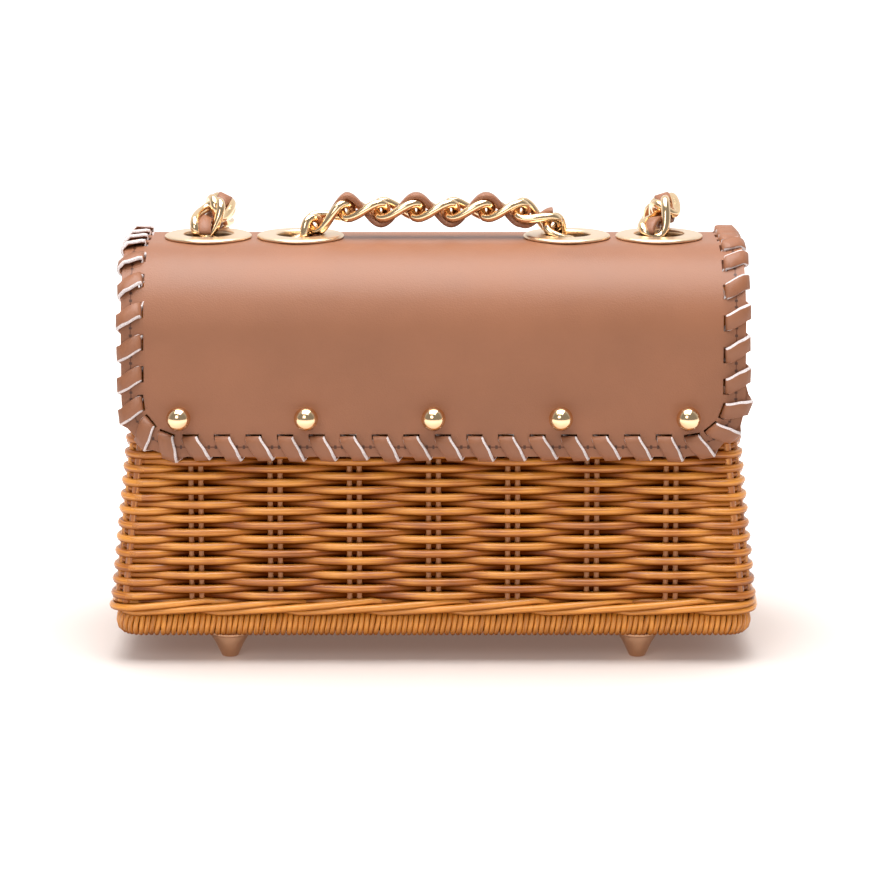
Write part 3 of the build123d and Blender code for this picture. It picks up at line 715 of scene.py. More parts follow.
# Basket
def plan(z, inset, corner, step=ROW_STEP):
    """A loop round the basket at a height: points, ways out, and each one's side and place on it, if flat."""
    a, b = half_width(z) - inset, half_depth(z) - inset
    points, outs, marks = [], [], []
    for side in range(4):
        turn = side * math.pi / 2
        along = np.array([math.cos(turn), math.sin(turn), 0])
        out = np.array([math.sin(turn), -math.cos(turn), 0])
        half, reach = (a, b) if side % 2 == 0 else (b, a)
        flat = half - corner
        for x in np.linspace(-flat, flat, int(2 * flat / step)):
            points.append(along * x + out * reach)
            outs.append(out)
            marks.append((side, x))
        for angle in np.linspace(0, math.pi / 2, 6)[1:-1]:
            way = out * math.cos(angle) + along * math.sin(angle)
            points.append(along * flat + out * (reach - corner) + way * corner)
            outs.append(way)
            marks.append((side, None))
    points, outs = np.array(points), np.array(outs)
    points[:, 2] = z
    return points, outs, marks


def swing(x, pitch, count, parity, half, end):
    """How far a row stands out on a wall: over one stake and under the next, with the share given at both ends."""
    stakes = [(k - (count - 1) / 2) * pitch for k in range(count)]
    knots = [-half] + stakes + [half]
    turns = [end] + [(OVER if (k + parity) % 2 else UNDER) for k in range(count)] + [end]
    place = min(max(int(np.searchsorted(knots, x)) - 1, 0), len(knots) - 2)
    t = min(max((x - knots[place]) / (knots[place + 1] - knots[place]), 0), 1)
    ease = (1 - math.cos(math.pi * t)) / 2
    return SWING * (turns[place] + (turns[place + 1] - turns[place]) * ease)


def depth(off):
    """How deep a cane lies between its neighbours, from 0 outside to 1 behind a stake."""
    return min(max((0.75 - off / SWING) / 1.1, 0), 1)


def woven_rows(sizes):
    """Lines of all rows: loops round the basket, then the rows of the arched ends."""
    pitch, cane = sizes.stake_pitch * 1000, sizes.row * 1000
    chance = np.random.default_rng(sizes.seed)
    lines = []
    count = int((WEAVE_TOP - WEAVE_BASE) / cane)
    for row in range(1, count):
        z = WEAVE_BASE + (row + 0.5) * cane
        points, outs, marks = plan(z, WALL_MIDDLE, ROW_CORNER)
        wobble = chance.uniform(-0.1, 0.1, 8)
        sink = np.zeros((len(points), 1))
        # A row that passes over the stake next to a corner dives behind the corner, and the next row turns it
        corner = CORNER_IN if row % 2 else CORNER_OUT
        for i, (side, x) in enumerate(marks):
            wall, stakes = (half_width(z), FRONT_STAKES) if side % 2 == 0 else (half_depth(z), END_STAKES)
            half = wall - WALL_MIDDLE - ROW_CORNER
            off = corner * SWING if x is None else swing(x, pitch, stakes, row, half, corner)
            # The first row lies close behind the border
            points[i] += outs[i] * (off if row > 1 else 0.4 * off - 0.8)
            sink[i] = depth(off)
            points[i][2] += wobble[2 * side] + wobble[2 * side + 1] * math.sin((x or 0) / 23 + row)
        lines.append(closed_loop(np.hstack([points, sink])))
    section, _ = arch(-2.4, WEAVE_TOP, WEAVE_TOP)
    rows = int((section[:, 1].max() - WEAVE_TOP) / cane)
    for row in range(rows):
        z = WEAVE_TOP + (row + 0.4) * cane
        x = half_width(z) - WALL_MIDDLE
        reach = section[section[:, 1] >= z][:, 0].max() - 1.5
        ys = np.linspace(-reach, reach, max(12, int(2 * reach / ROW_STEP)))
        offs = [swing(y, pitch, END_STAKES, count + row, max(reach, 36.0), ARCH_END) for y in ys]
        for end in (-1, 1):
            lines.append([(end * (x + off), y, z, depth(off)) for y, off in zip(ys, offs)])
    return lines


def pairs(count, pitch, apart):
    """Places of paired stakes along a wall, even about its middle."""
    return [(k - (count - 1) / 2) * pitch + shift for k in range(count) for shift in (-apart, apart)]


def stake_lines(sizes):
    """Lines of the paired stakes of all four walls."""
    pitch = sizes.stake_pitch * 1000
    section, _ = arch(-4.6, WEAVE_TOP, WEAVE_TOP)
    ys, tops = section[section[:, 0] >= 0].T
    lines = []
    for x in pairs(FRONT_STAKES, pitch, STAKE_APART):
        heights = np.linspace(WEAVE_BASE + 1, WEAVE_TOP, 12)
        for side in (-1, 1):
            lines.append([(x, side * (half_depth(z) - WALL_MIDDLE), z) for z in heights])
    for y in pairs(END_STAKES, pitch, STAKE_APART):
        heights = np.linspace(WEAVE_BASE + 1, np.interp(abs(y), ys, tops), 14)
        for side in (-1, 1):
            lines.append([(side * (half_width(z) - WALL_MIDDLE), y, z) for z in heights])
    return lines


def post_lines():
    """Lines of the two posts at each corner, whose feet bend in behind the border."""
    heights = np.linspace(WEAVE_BASE - 2, WEAVE_TOP + 1, 28)
    bends = [max(0.0, WEAVE_BASE + 4 - z) * 0.7 for z in heights]
    return [
        [(sx * (half_width(z) - inset - bend), sy * (half_depth(z) - POST_SPAN + inset - bend), z)
         for z, bend in zip(heights, bends)]
        for sx in (-1, 1) for sy in (-1, 1) for inset in POST_INSETS]


class BAG_OT_weave(bpy.types.Operator):
    """Weave the canes over and under the stakes round the basket and up its arched ends"""

    bl_idname = "bag.weave"
    bl_label = "Woven walls"

    def execute(self, context):
        sizes = context.scene.bag_sizes
        rows = canes("woven_rows", woven_rows(sizes), sizes.cane, "lacquered_rattan", 8, sizes.seed)
        done(rows, "basket", "rattan", "front_wall", "back_wall", "left_end_wall", "right_end_wall")
        stakes = canes("paired_stakes", stake_lines(sizes), sizes.stake, "peeled_stake", 8, sizes.seed + 1)
        done(stakes, "basket", "rattan")
        corner = canes("corner_stakes", post_lines(), POST_CANE, "lacquered_rattan", 10, sizes.seed + 2)
        done(corner, "basket", "rattan", "corner_posts")
        return {"FINISHED"}


def border_strand(strand):
    """One strand of the border, local: from under the border round its outside and in over its top."""
    bow = [(-4.1, -7.2), (-4.2, -3.0), (-3.9, -0.9), (-2.6, 0.5), (-0.6, 1.0), (1.6, 0.7),
           (3.2, -0.4), (4.0, -2.2), (4.2, -4.5)]
    path = np.array([(0.16 * a, a, b) for a, b in bow])
    half = strand / 2 * 0.97
    section = [(half * math.cos(a), -1.0 * math.sin(a)) for a in full_turn(8)]
    made = swept("strand", path, [RIGHT] * len(path), np.cross(RIGHT, ways_along(path)), section)
    keep(made, "run", "FLOAT", np.repeat(lengths(path), len(section)) / 1000)
    keep(made, "ring", "FLOAT_VECTOR", np.tile([(a, b, 0) for a, b in section], (len(path), 1)) / 1000)
    return made


def waling_lines(sizes):
    """Lines of three canes twisted round the foot of the walls, each in front for part of its turn."""
    loop, outs, _ = plan(WALING_HEIGHT, WALL_MIDDLE, WALING_CORNER, 1.3)
    run = lengths(closed_loop(loop))
    turns = round(run[-1] / (3 * sizes.stake_pitch * 1000))
    front, lines = WALING_FRONT, []
    for third in range(3):
        phase = (turns * run[:-1] / run[-1] + third / 3) % 1
        before = phase < front
        rise = np.where(before, phase / front, (phase - front) / (1 - front))
        hump = np.sin(np.pi * rise)
        off = np.where(before, 0.5 + 2.4 * hump**0.8, 0.5 - 2.0 * hump)
        line = loop + outs * off[:, None]
        line[:, 2] += np.where(before, -2.3 + 4.4 * rise, 2.1 - 4.4 * rise)
        lines.append(closed_loop(line))
    return lines


class BAG_OT_border(bpy.types.Operator):
    """Wrap the border with upright strands, and lay the three twisted canes above it"""

    bl_idname = "bag.border"
    bl_label = "Wrapped border"

    def execute(self, context):
        sizes = context.scene.bag_sizes
        strand = sizes.border_strand * 1000
        points, outs, _ = plan(WEAVE_BASE, BORDER_INSET, BORDER_CORNER, 0.5)
        ring, ring_outs = closed_loop(points), closed_loop(outs)
        along = lengths(ring)
        count = round(along[-1] / strand)
        at = along[-1] * np.arange(count) / count
        middles, outs = between(at, along, ring), unit(between(at, along, ring_outs))
        middles[:, 2] = BORDER_HEIGHT
        strands = pieces("border_strands", border_strand(strand), zip(middles, np.cross(UP, outs), outs),
                         "border_rattan", turn=0.05, seed=sizes.seed)
        core = ring - ring_outs * BORDER_CORE
        core[:, 2] = BORDER_HEIGHT
        core = canes("core", [np.vstack([core[::6], core[:1]])], CORE_CANE, "shaded_core", 10)
        done(joined("wrapped_border", [strands, core]), "basket", "rattan", "base_border")
        waling = canes("twisted_waling", waling_lines(sizes), WALING_CANE, "border_rattan", 8, sizes.seed + 3)
        done(waling, "basket", "rattan")
        return {"FINISHED"}


class BAG_OT_floor(bpy.types.Operator):
    """Weave the basket's bottom"""

    bl_idname = "bag.floor"
    bl_label = "Woven floor"

    def execute(self, context):
        sizes = context.scene.bag_sizes
        pitch = sizes.stake_pitch * 1000
        z = FOOT_TOP + 2.3
        half_x, half_y = FLOOR_REACH
        lines = []
        for row in range(FLOOR_ROWS):
            y = (row - (FLOOR_ROWS - 1) / 2) * FLOOR_PITCH
            xs = np.linspace(-half_x, half_x, 60)
            lines.append([(x, y, z + math.cos(math.pi * (x / pitch + row))) for x in xs])
        cross = [
            [(x, y, z) for y in np.linspace(-half_y, half_y, 6)] for x in pairs(FRONT_STAKES, pitch, FLOOR_APART)]
        weave = canes("floor_rows", lines, FLOOR_CANE, "lacquered_rattan", 7, sizes.seed + 4)
        bars = canes("floor_bars", cross, FLOOR_BAR, "peeled_stake", 6, sizes.seed + 5)
        done(joined("woven_floor", [weave, bars]), "basket", "rattan", "floor_mat")
        return {"FINISHED"}


class BAG_OT_rims(bpy.types.Operator):
    """Lay the canes along the top of the walls and round the arched ends"""

    bl_idname = "bag.rims"
    bl_label = "Rims"

    def execute(self, context):
        sizes = context.scene.bag_sizes
        front_reach, rod_reach = half_width(WEAVE_TOP) - FRONT_RIM_INSET, half_width(AXIS_Z) - ROD_INSET
        front_y = WALL_MIDDLE - half_depth(WEAVE_TOP)
        front = [[(x, front_y, FRONT_RIM_HEIGHT) for x in np.linspace(-front_reach, front_reach, 40)]]
        rod = [[(x, AXIS_Y, AXIS_Z) for x in np.linspace(-rod_reach, rod_reach, 40)]]
        section, _ = arch(-2.5, WEAVE_TOP + 0.6, WEAVE_TOP + 0.6)
        arches = [[(side * (half_width(z) - WALL_MIDDLE), y, z) for y, z in section] for side in (-1, 1)]
        for i, (name, lines, diameter, *nodes) in enumerate((
            ("front_rim_cane", front, FRONT_RIM_CANE, "front_rim"),
            ("hinge_cane", rod, RIM_CANE, "hinge_rod"),
            ("arch_canes", arches, RIM_CANE, "left_arch_rim", "right_arch_rim"),
        )):
            made = canes(name, lines, diameter, "lacquered_rattan", 14, sizes.seed + i)
            done(made, "basket", "rattan", *nodes)
        return {"FINISHED"}


class BAG_OT_feet(bpy.types.Operator):
    """Turn the four conical feet, and give the small hidden fittings their finish"""

    bl_idname = "bag.feet"
    bl_label = "Feet"

    def execute(self, context):
        profile = [(0, 0.0), (2.4, 0.0)] + arc((2.6, 0.65), 0.65, -90, -20, 5)
        profile += [(5.4, 5.2), (7.3, 8.4), (7.4, 8.7)] + arc((7.3, 9.7), 0.95, -60, 80, 9)
        profile += [(7.2, 10.8), (7.0, FOOT_TOP), (0, FOOT_TOP)]
        foot_x, foot_y = FOOT_PLACE
        places = [((sx * foot_x, sy * foot_y, 0), RIGHT, UP) for sx in (-1, 1) for sy in (-1, 1)]
        feet = pieces("conical_feet", turned("foot", profile), places, "satin_gold_plate")
        done(feet, "basket", "satin_gold", "feet")
        for name, finish in (("foot_nuts", "satin_gold_plate"), ("snap_plates", "nickel_plate"),
                             ("magnet_snaps", "nickel_plate"), ("stud_screws", "nickel_plate")):
            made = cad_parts[name]
            made.data.materials.clear()
            made.data.materials.append(bag_material(finish))
        return {"FINISHED"}


# Flap
def flap_half(rise):
    """Half the flap's width at a distance above its lower edge, along the leather."""
    if rise >= FLAP_CORNER:
        return FLAP_HALF
    return FLAP_HALF - FLAP_CORNER + math.sqrt(max(FLAP_CORNER**2 - (FLAP_CORNER - rise)**2, 0))


def flap_edge():
    """Points and ways out round the flap's edge, from the left back corner to the right."""
    section, normals = arch(LEATHER_MIDDLE, FLAP_BOTTOM, BACK_EDGE)
    rise = lengths(section)
    inner = FLAP_HALF - FLAP_CORNER
    flat = [(s, -flap_half(s)) for s in rise[::-1] if s > FLAP_CORNER]
    for angle in np.linspace(0, math.pi / 2, 24):
        flat.append((FLAP_CORNER - FLAP_CORNER * math.sin(angle), -inner - FLAP_CORNER * math.cos(angle)))
    flat += [(0.0, x) for x in np.linspace(-inner, 0, 60)[1:]]
    flat += [(s, -x) for s, x in reversed(flat[:-1])]
    rises, xs = np.transpose(flat)
    points = np.column_stack([xs, between(rises, rise, section)])
    return points, np.column_stack([np.zeros(len(xs)), between(rises, rise, normals)])


def lace_places(sizes):
    """Where the wraps of the lace cross the flap's edge."""
    points, outs = flap_edge()
    along = lengths(points)
    count = round(along[-1] / (sizes.lace_pitch * 1000))
    at = along[-1] * (np.arange(count - 1) + 0.3) / count
    ways = unit(between(at + 1.0, along, points) - between(at - 1.0, along, points))
    outs = between(at, along, outs)
    outs = unit(outs - ways * (outs * ways).sum(1)[:, None])
    return list(zip(between(at, along, points), ways, outs))


def leather_shell():
    """The flap as one thick sheet, with a cut edge."""
    section, _ = arch(LEATHER_MIDDLE, FLAP_BOTTOM, BACK_EDGE, 2.2)
    rise = lengths(section)
    fine = np.concatenate([np.linspace(0, FLAP_CORNER, 26), rise[rise > FLAP_CORNER + 0.5]])
    # Points lie closer together towards the sides
    bunch = 0.86
    across = np.sin(np.linspace(-1, 1, 121) * math.pi / 2 * bunch) / math.sin(math.pi / 2 * bunch)
    points, faces = [], []
    for s in fine:
        y, z = between(s, rise, section)
        points.extend((u * flap_half(s), y, z) for u in across)
    n = len(across)
    for i in range(len(fine) - 1):
        faces.extend((i * n + k, i * n + k + 1, (i + 1) * n + k + 1, (i + 1) * n + k) for k in range(n - 1))
    made = outward(mesh_object("flap_sheet", points, faces))
    if made.data.polygons[len(faces) // 3].normal.y > 0:
        made.data.flip_normals()
    for finish in ("smooth_leather", "cut_leather_edge"):
        made.data.materials.append(bag_material(finish))
    thick = made.modifiers.new("thickness", "SOLIDIFY")
    thick.thickness = LEATHER / 1000
    thick.offset = 0
    thick.material_offset_rim = 1
    return settled(made, "flap_shell")


def slot_cutter(sizes):
    """Round holes for the grommets and narrow slots for the lace, as one cutter."""
    barrel = turned("hole", [(0, -6.0), (HOLE_RADIUS, -6.0), (HOLE_RADIUS, 6.0), (0, 6.0)], 40)
    holes = pieces("holes", barrel, [((x, 0, CREST - 1), RIGHT, UP) for x in GROMMETS], "cut_leather_edge")
    wide, high, deep = SLOT_HALF
    outline = ((-wide, -high), (wide, -high), (wide, high), (-wide, high))
    corners = [(x, SLOT_IN + y, z) for z in (-deep, deep) for x, y in outline]
    sides = [(3, 2, 1, 0), (4, 5, 6, 7), (0, 1, 5, 4), (1, 2, 6, 5), (2, 3, 7, 6), (3, 0, 4, 7)]
    slot = mesh_object("slot", corners, sides, local=True)
    return joined("cutter", [holes, pieces("slots", slot, lace_places(sizes), "smooth_leather")])


def mark_edge(made):
    """Keep each point's distance from the flap's edge, in centimetres, and its place along it, for the stitches."""
    section, _ = arch(LEATHER_MIDDLE, FLAP_BOTTOM, BACK_EDGE, 0.7)
    rise = lengths(section)
    co = np.empty(len(made.data.vertices) * 3)
    made.data.vertices.foreach_get("co", co)
    co = co.reshape(-1, 3) * 1000 - (0, BASKET_SHIFT, 0)
    near = [((section - point) ** 2).sum(1).argmin() for point in co[:, 1:]]
    s, x = rise[near], np.abs(co[:, 0])
    inner = FLAP_HALF - FLAP_CORNER
    corner = (x > inner) & (s < FLAP_CORNER)
    gap = np.where(
        corner, FLAP_CORNER - np.hypot(x - inner, s - FLAP_CORNER),
        np.minimum(np.minimum(FLAP_HALF - x, s), rise[-1] - s))
    bend = np.arctan2(np.maximum(FLAP_CORNER - s, 0), np.maximum(x - inner, 1e-6))
    along = np.where(
        corner, FLAP_CORNER - FLAP_CORNER * bend,
        np.where(x > inner, s, x - inner + FLAP_CORNER - FLAP_CORNER * math.pi / 2))
    keep(made, "edge", "FLOAT", np.clip(gap / 10, 0, 1))
    keep(made, "along", "FLOAT", along)


class BAG_OT_flap(bpy.types.Operator):
    """Cut and bend the leather flap"""

    bl_idname = "bag.flap"
    bl_label = "Leather flap"

    def execute(self, context):
        shell, cutter = leather_shell(), slot_cutter(context.scene.bag_sizes)
        cut = shell.modifiers.new("cut", "BOOLEAN")
        cut.operation = "DIFFERENCE"
        cut.solver = "EXACT"
        cut.object = cutter
        leather = settled(shell, "leather_flap")
        bpy.data.objects.remove(cutter)
        mark_edge(leather)
        smooth(leather)
        leather.data.set_sharp_from_angle(angle=math.radians(40))
        done(leather, "flap", "leather", "flap")
        return {"FINISHED"}


def lace_wrap(sizes):
    """One wrap of the lace, local: up through a slot, over the flap's edge and back below to the next slot."""
    wide, thick, pitch = (size * 1000 for size in (sizes.lace_width, sizes.lace_thickness, sizes.lace_pitch))
    lift = LEATHER / 2 + thick / 2 + 0.12
    slot, lead = 7.0, 4.2
    # Along the edge, in from it, out of the leather, and the way the lace faces
    path = [
        (0.0, slot + 0.1, 0.0, (0, 0.8, 0.6)), (0.0, slot - 0.1, lift * 0.75, (0, 0.6, 0.8)),
        (0.25, slot - 0.9, lift + 0.25, (0, 0.15, 1)), (0.9, slot - 2.2, lift + 0.42, (0, 0, 1)),
        (1.9, slot - 3.8, lift + 0.38, (0, 0, 1)), (3.0, slot - 5.4, lift + 0.2, (0, -0.1, 1)),
        (3.7, slot - 6.6, lift - 0.05, (0, -0.45, 0.9)), (lead, -0.75, 0.8, (0, -0.9, 0.45)),
        (lead + 0.2, -0.98, 0.0, (0, -1, 0)), (lead + 0.5, -0.75, -0.8, (0, -0.9, -0.45)),
        (lead + 1.0, 0.4, -lift + 0.05, (0, -0.45, -0.9)), (lead + 2.6, slot * 0.4, -lift - 0.1, (0, 0, -1)),
        (pitch - 1.2, slot - 1.4, -lift - 0.05, (0, 0, -1)), (pitch - 0.2, slot - 0.1, -lift * 0.7, (0, 0.6, -0.8)),
    ]
    centres = np.array([step[:3] for step in path])
    faces_to = np.array([step[3] for step in path], float)
    # The part on the outside is tilted, so that one cut edge shows
    faces_to[2:7, 0] = -0.30
    faces_to = unit(faces_to)
    wides = unit(np.cross(np.gradient(centres, axis=0), faces_to))
    a, b, soft, cut = wide / 2, thick / 2, 0.25, 0.5
    section = [(-a, -b + soft), (-a + soft, -b), (a - soft, -b), (a, -b + soft),
               (a, b - soft), (a - soft, b), (-a + cut, b), (-a, b - cut)]
    return swept("wrap", centres, wides, faces_to, section, raw_sides=(3, 6, 7))


def hinge_loop():
    """One loop of lace, local: round the hinge cane and the flap's back edge."""
    radius, reach = 3.25, 8.6
    turns = np.linspace(0, 2 * math.pi, 29)
    ups = np.array([(0, math.cos(turn), math.sin(turn)) for turn in turns])
    centres = ups * radius + np.array([(0, reach if math.cos(turn) > 0 else 0.0, 0) for turn in turns])
    a, b = 3.0, 0.62
    section = [(-a, -b), (a, -b), (a, b), (-a, b)]
    return swept("loop", centres, [RIGHT] * len(turns), ups, section, raw_sides=(1, 3))


class BAG_OT_lacing(bpy.types.Operator):
    """Whip the wide lace round the flap's edge, and lace the flap to the hinge cane"""

    bl_idname = "bag.lacing"
    bl_label = "Lacing"

    def execute(self, context):
        sizes = context.scene.bag_sizes
        out = unit((0, 1.0, -0.13))
        loops = [
            (((k - (HINGE_LACES - 1) / 2) * HINGE_LACE_PITCH, AXIS_Y, AXIS_Z), -RIGHT, out)
            for k in range(HINGE_LACES)]
        for name, piece, places, turn, replaced in (
            ("edge_lace", lace_wrap(sizes), lace_places(sizes), 0.06, "flap_lacing"),
            ("hinge_lace", hinge_loop(), loops, 0.02, "hinge_laces"),
        ):
            lace = pieces(name, piece, places, "smooth_leather", "cut_leather_edge", turn, sizes.seed)
            done(lace, "flap", "leather", replaced)
        return {"FINISHED"}


class BAG_OT_fittings(bpy.types.Operator):
    """Set the ball studs on the panel and the grommets along the crest"""

    bl_idname = "bag.fittings"
    bl_label = "Studs and grommets"

    def execute(self, context):
        radius = context.scene.bag_sizes.stud * 500
        profile = [(0, -0.2), (3.3, -0.2), (3.4, 0.2)] + arc((0, radius - 0.9), radius, -42, 90, 26)
        section, _ = arch(LEATHER_MIDDLE + LEATHER / 2, FLAP_BOTTOM, BACK_EDGE)
        y = np.interp(STUD_HEIGHT, section[:30, 1], section[:30, 0])
        places = [((x, y, STUD_HEIGHT), RIGHT, (0, -math.cos(LEAN), math.sin(LEAN))) for x in STUDS]
        studs = pieces("domed_studs", turned("stud", profile, 40), places, "polished_gold_plate")
        done(studs, "flap", "gold", "ball_studs")
        low, high = CREST - LEATHER - 0.9, RING_TOP
        profile = [(9.0, low), (11.4, low), (11.5, low + 0.5), (10.0, low + 0.9), (10.0, CREST + 0.05)]
        profile += [(15.9, CREST + 0.05)] + arc((15.9, CREST + 0.65), 0.6, -90, 50, 8)
        profile += [(15.6, high - 0.12), (14.6, high - 0.02), (10.6, high)]
        profile += arc((10.0, high - 0.9), 0.98, 70, 180, 9) + [(9.0, low)]
        ring = turned("ring", [(r, z - CREST) for r, z in profile], 72)
        grommets = pieces("flat_grommets", ring, [((x, 0, CREST), RIGHT, UP) for x in GROMMETS], "pale_gold_plate")
        done(grommets, "flap", "gold", "grommets")
        return {"FINISHED"}


# Chains
def link_piece(sizes):
    """One twisted link, local: X along, Y across, Z up."""
    half, across, twist = LINK_HALF
    turns, angles = full_turn(32), full_turn(12)
    line = np.stack([half * np.cos(turns), across * np.sin(turns), -twist * np.sin(2 * turns)], 1)
    ways = unit(np.roll(line, -1, 0) - np.roll(line, 1, 0))
    outs = unit(line - ways * (line * ways).sum(1)[:, None])
    sides = np.cross(ways, outs)
    radius = sizes.wire * 500
    points = [
        centre + (out * math.cos(angle) + side * math.sin(angle)) * radius
        for centre, out, side in zip(line, outs, sides) for angle in angles]
    faces = skin(len(turns), len(angles), closed=True)
    return smooth(outward(mesh_object("link", points, faces, local=True)))


def chain(hook, angles):
    """Centres and slopes of links hooked one into the next, and the last hook."""
    links = []
    for angle in angles:
        way = np.array([math.cos(math.radians(angle)), 0, -math.sin(math.radians(angle))])
        links.append((hook + way * LINK_PITCH / 2, angle))
        hook = hook + way * LINK_PITCH
    return links, hook


def both_sides(links):
    """Links of the right side, and the same ones on the left."""
    return links + [(centre * (-1, 1, 1), -angle) for centre, angle in links]


def link_places(links):
    """Places of links that lie in the plane of the handle."""
    places = []
    for centre, angle in links:
        a = math.radians(angle)
        places.append((centre, (math.cos(a), 0, -math.sin(a)), (math.sin(a), 0, math.cos(a))))
    return places


def leather_strip(name, line, wides, phase, narrow, broad, thick):
    """A flat strip with eased edges along points, narrow where it passes through a link."""
    widths = narrow + (broad - narrow) * np.abs(np.sin(phase)) ** 1.5
    ups = np.cross(ways_along(line), wides)
    made = swept(name, line, wides * widths[:, None] / 2, ups * thick / 2, STRIP_SHAPE, local=False)
    made.data.materials.append(bag_material("smooth_leather"))
    return made


class BAG_OT_handle(bpy.types.Operator):
    """Hook the handle's links together and weave the leather strip through them"""

    bl_idname = "bag.handle"
    bl_label = "Chain handle"

    def execute(self, context):
        sizes = context.scene.bag_sizes
        run_half = RUN_LINKS * LINK_PITCH / 2
        level, end = chain(np.array([-run_half, 0, RUN_HEIGHT]), [0] * RUN_LINKS)
        bent, hook = chain(end, BENDS)
        span = GROMMETS[2] + GROMMETS[3] - 2 * hook[0]
        slope = math.degrees(math.acos((span - LINK_PITCH) / (2 * LINK_PITCH)))
        under, _ = chain(hook, (slope, 0, -slope))
        shown = [(c * (HANDLE_STRETCH, 1, 1) - (0, 0, HANDLE_SAG), a) for c, a in level + both_sides(bent)]
        for name, links, replaced in (
            ("handle_curb_links", shown, "handle_links"), ("hidden_links", both_sides(under), "under_chain"),
        ):
            made = pieces(name, link_piece(sizes), link_places(links), "polished_gold_plate")
            done(made, "flap", "gold", replaced)
        pitch = LINK_PITCH * HANDLE_STRETCH
        run_half *= HANDLE_STRETCH
        reach = run_half + pitch * 0.9
        xs = np.linspace(-reach, reach, 190)
        drop = np.maximum(0, np.abs(xs) - run_half) * math.tan(math.radians(BENDS[0]))
        phase = np.pi * xs / pitch
        zs = RUN_HEIGHT - HANDLE_SAG - drop - HANDLE_WAVE * np.sin(phase)
        line = np.stack([xs, np.zeros_like(xs), zs], 1)
        wides = np.tile(BACK, (len(xs), 1))
        strip = leather_strip("handle_strip", line, wides, phase, HANDLE_WAIST, sizes.strip * 1000, HANDLE_THICK)
        done(strip, "flap", "leather", "handle_lace")
        return {"FINISHED"}


def strap_line():
    """Points along the strap's smooth route, in the frame's metres."""
    leans = STRAP_LEAN + (0.0,) * (len(STRAP_HALF) - len(STRAP_LEAN))
    left, right = (
        [(side * x + lean, y, z) for (x, y, z), lean in zip(STRAP_HALF, leans)] for side in (1, -1))
    route = to_frame(left + right[::-1])
    curve = bpy.data.curves.new("strap_route", "CURVE")
    curve.dimensions = "3D"
    curve.resolution_u = 24
    spline = curve.splines.new("NURBS")
    spline.points.add(len(route) - 1)
    for point, place in zip(spline.points, route):
        point.co = (*place, 1)
    spline.order_u = 3
    spline.use_endpoint_u = True
    made = new_object("strap_route", curve)
    mesh = evaluated_mesh(made)
    points = np.array([v.co for v in mesh.vertices])
    bpy.data.objects.remove(made)
    bpy.data.curves.remove(curve)
    bpy.data.meshes.remove(mesh)
    return points


class BAG_OT_strap(bpy.types.Operator):
    """Lay the shoulder strap, links with a strip through them, along its route behind the bag"""

    bl_idname = "bag.strap"
    bl_label = "Shoulder strap"

    def execute(self, context):
        route = strap_line()
        line = route * 1000 - (0, BASKET_SHIFT, 0)
        along = lengths(line)
        count = round(along[-1] / LINK_PITCH)
        pitch = along[-1] / count
        samples = np.linspace(0, along[-1], count * STRAP_SAMPLES + 1)
        path = between(samples, along, line)
        ways = ways_along(path)
        up, ups = BACK, []
        for way in ways:
            up = unit(up - way * up.dot(way))
            ups.append(up)
        ups = np.array(ups)
        wides = np.cross(ups, ways)
        middles = slice(STRAP_SAMPLES // 2, None, STRAP_SAMPLES)
        places = zip(path[middles], ways[middles], ups[middles])
        links = pieces("strap_links", link_piece(context.scene.bag_sizes), places, "polished_gold_plate")
        phase = np.pi * samples / pitch - np.pi / 2
        strip_line = path + ups * (STRAP_WAVE * np.sin(phase))[:, None]
        strip = leather_strip("strap_strip", strip_line, wides, phase, STRAP_WAIST, STRAP_WIDTH, STRAP_THICK)
        strap = joined("chain_strap", [links, strip])
        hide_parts("shoulder_strap")
        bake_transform(strap)
        return {"FINISHED"}


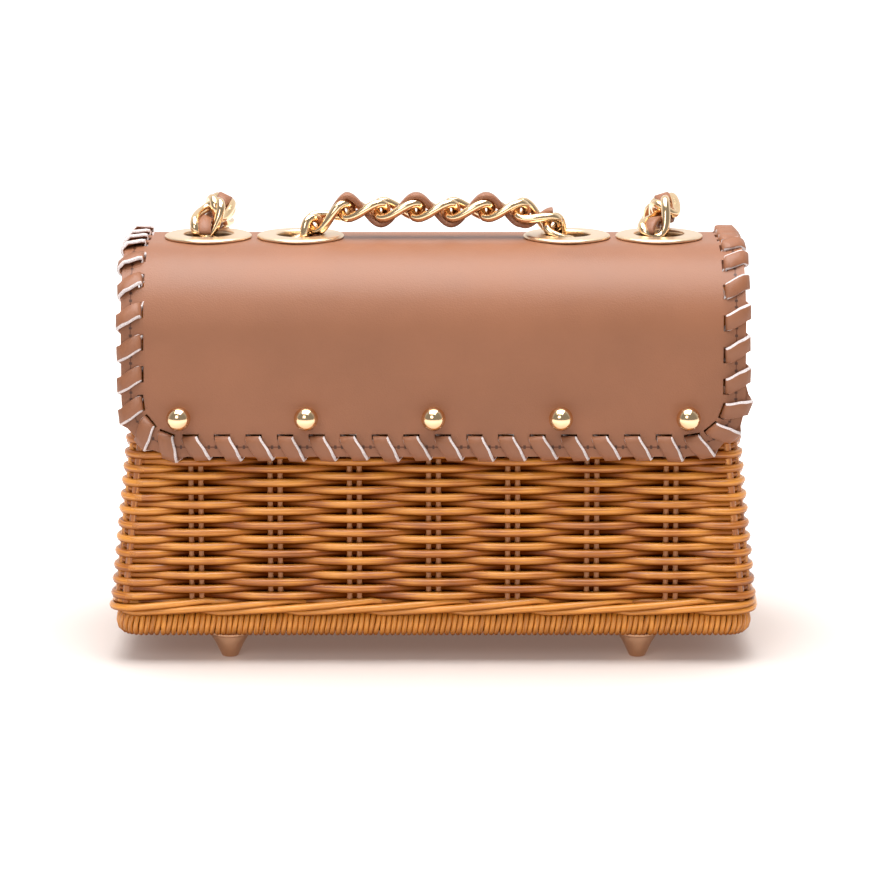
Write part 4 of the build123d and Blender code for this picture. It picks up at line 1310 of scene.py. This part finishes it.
# Stage
class BAG_OT_stage(bpy.types.Operator):
    """Set up the pale floor, the soft light and the camera"""

    bl_idname = "bag.stage"
    bl_label = "Stage"

    def execute(self, context):
        scene = context.scene
        corners = [(x * GROUND_HALF, y * GROUND_HALF, GROUND_LEVEL) for x, y in ((-1, -1), (1, -1), (1, 1), (-1, 1))]
        floor = mesh_object("pale_floor", corners, [(0, 1, 2, 3)])
        floor.data.materials.append(bag_material("white_studio_paper"))
        # The sky is brighter behind the bag than in front of it
        world = bpy.data.worlds.new("studio")
        scene.world = world
        world.use_nodes = True
        sky = world.node_tree
        way = node(sky, "ShaderNodeTexCoord")
        parts = node(sky, "ShaderNodeSeparateXYZ", {"Vector": way.outputs["Generated"]})
        strength = node(sky, "ShaderNodeMapRange", {
            "Value": parts.outputs["Y"], "From Min": -0.2, "From Max": 0.6, "To Min": 0.30, "To Max": 1.0})
        feed(sky.nodes["Background"], {"Color": (*WHITE, 1), "Strength": strength})
        for name, place, aim, size, power in LIGHTS:
            lamp = bpy.data.lights.new(name, "AREA")
            lamp.size = size
            lamp.energy = power
            aimed(name, lamp, place, aim)
        lens = bpy.data.cameras.new("camera")
        lens.sensor_width = 36.0
        lens.lens = LENS
        lens.clip_end = 50
        back = Vector((0, -math.cos(CAMERA_RISE) * CAMERA_AWAY, math.sin(CAMERA_RISE) * CAMERA_AWAY))
        scene.camera = aimed("camera", lens, CAMERA_AIM + back, CAMERA_AIM)
        scene.view_settings.view_transform = "Standard"
        return {"FINISHED"}


OPERATORS = (
    BAG_OT_weave, BAG_OT_border, BAG_OT_floor, BAG_OT_rims, BAG_OT_feet, BAG_OT_flap, BAG_OT_lacing,
    BAG_OT_fittings, BAG_OT_handle, BAG_OT_strap, BAG_OT_stage,
)


class BAG_PT_panel(bpy.types.Panel):
    """Lists the bag's pieces, sizes and colours"""

    bl_idname = "BAG_PT_panel"
    bl_label = "Rattan bag"
    bl_space_type = "VIEW_3D"
    bl_region_type = "UI"
    bl_category = "Bag"

    def draw(self, context):
        for group in (context.scene.bag_sizes, context.scene.bag_colours):
            for key in group.__annotations__:
                self.layout.prop(group, key)
        for operator in OPERATORS:
            self.layout.operator(operator.bl_idname)


CLASSES = (BagSizes, BagColours, *OPERATORS, BAG_PT_panel)


def register():
    """Add the classes and the scene's properties."""
    for made in CLASSES:
        bpy.utils.register_class(made)
    bpy.types.Scene.bag_sizes = bpy.props.PointerProperty(type=BagSizes)
    bpy.types.Scene.bag_colours = bpy.props.PointerProperty(type=BagColours)


def unregister():
    """Take them away again."""
    del bpy.types.Scene.bag_sizes
    del bpy.types.Scene.bag_colours
    for made in reversed(CLASSES):
        bpy.utils.unregister_class(made)


def main():
    """Make every piece in order."""
    register()
    for operator in OPERATORS:
        group, name = operator.bl_idname.split(".")
        getattr(getattr(bpy.ops, group), name)()


if __name__ == "__main__":
    main()
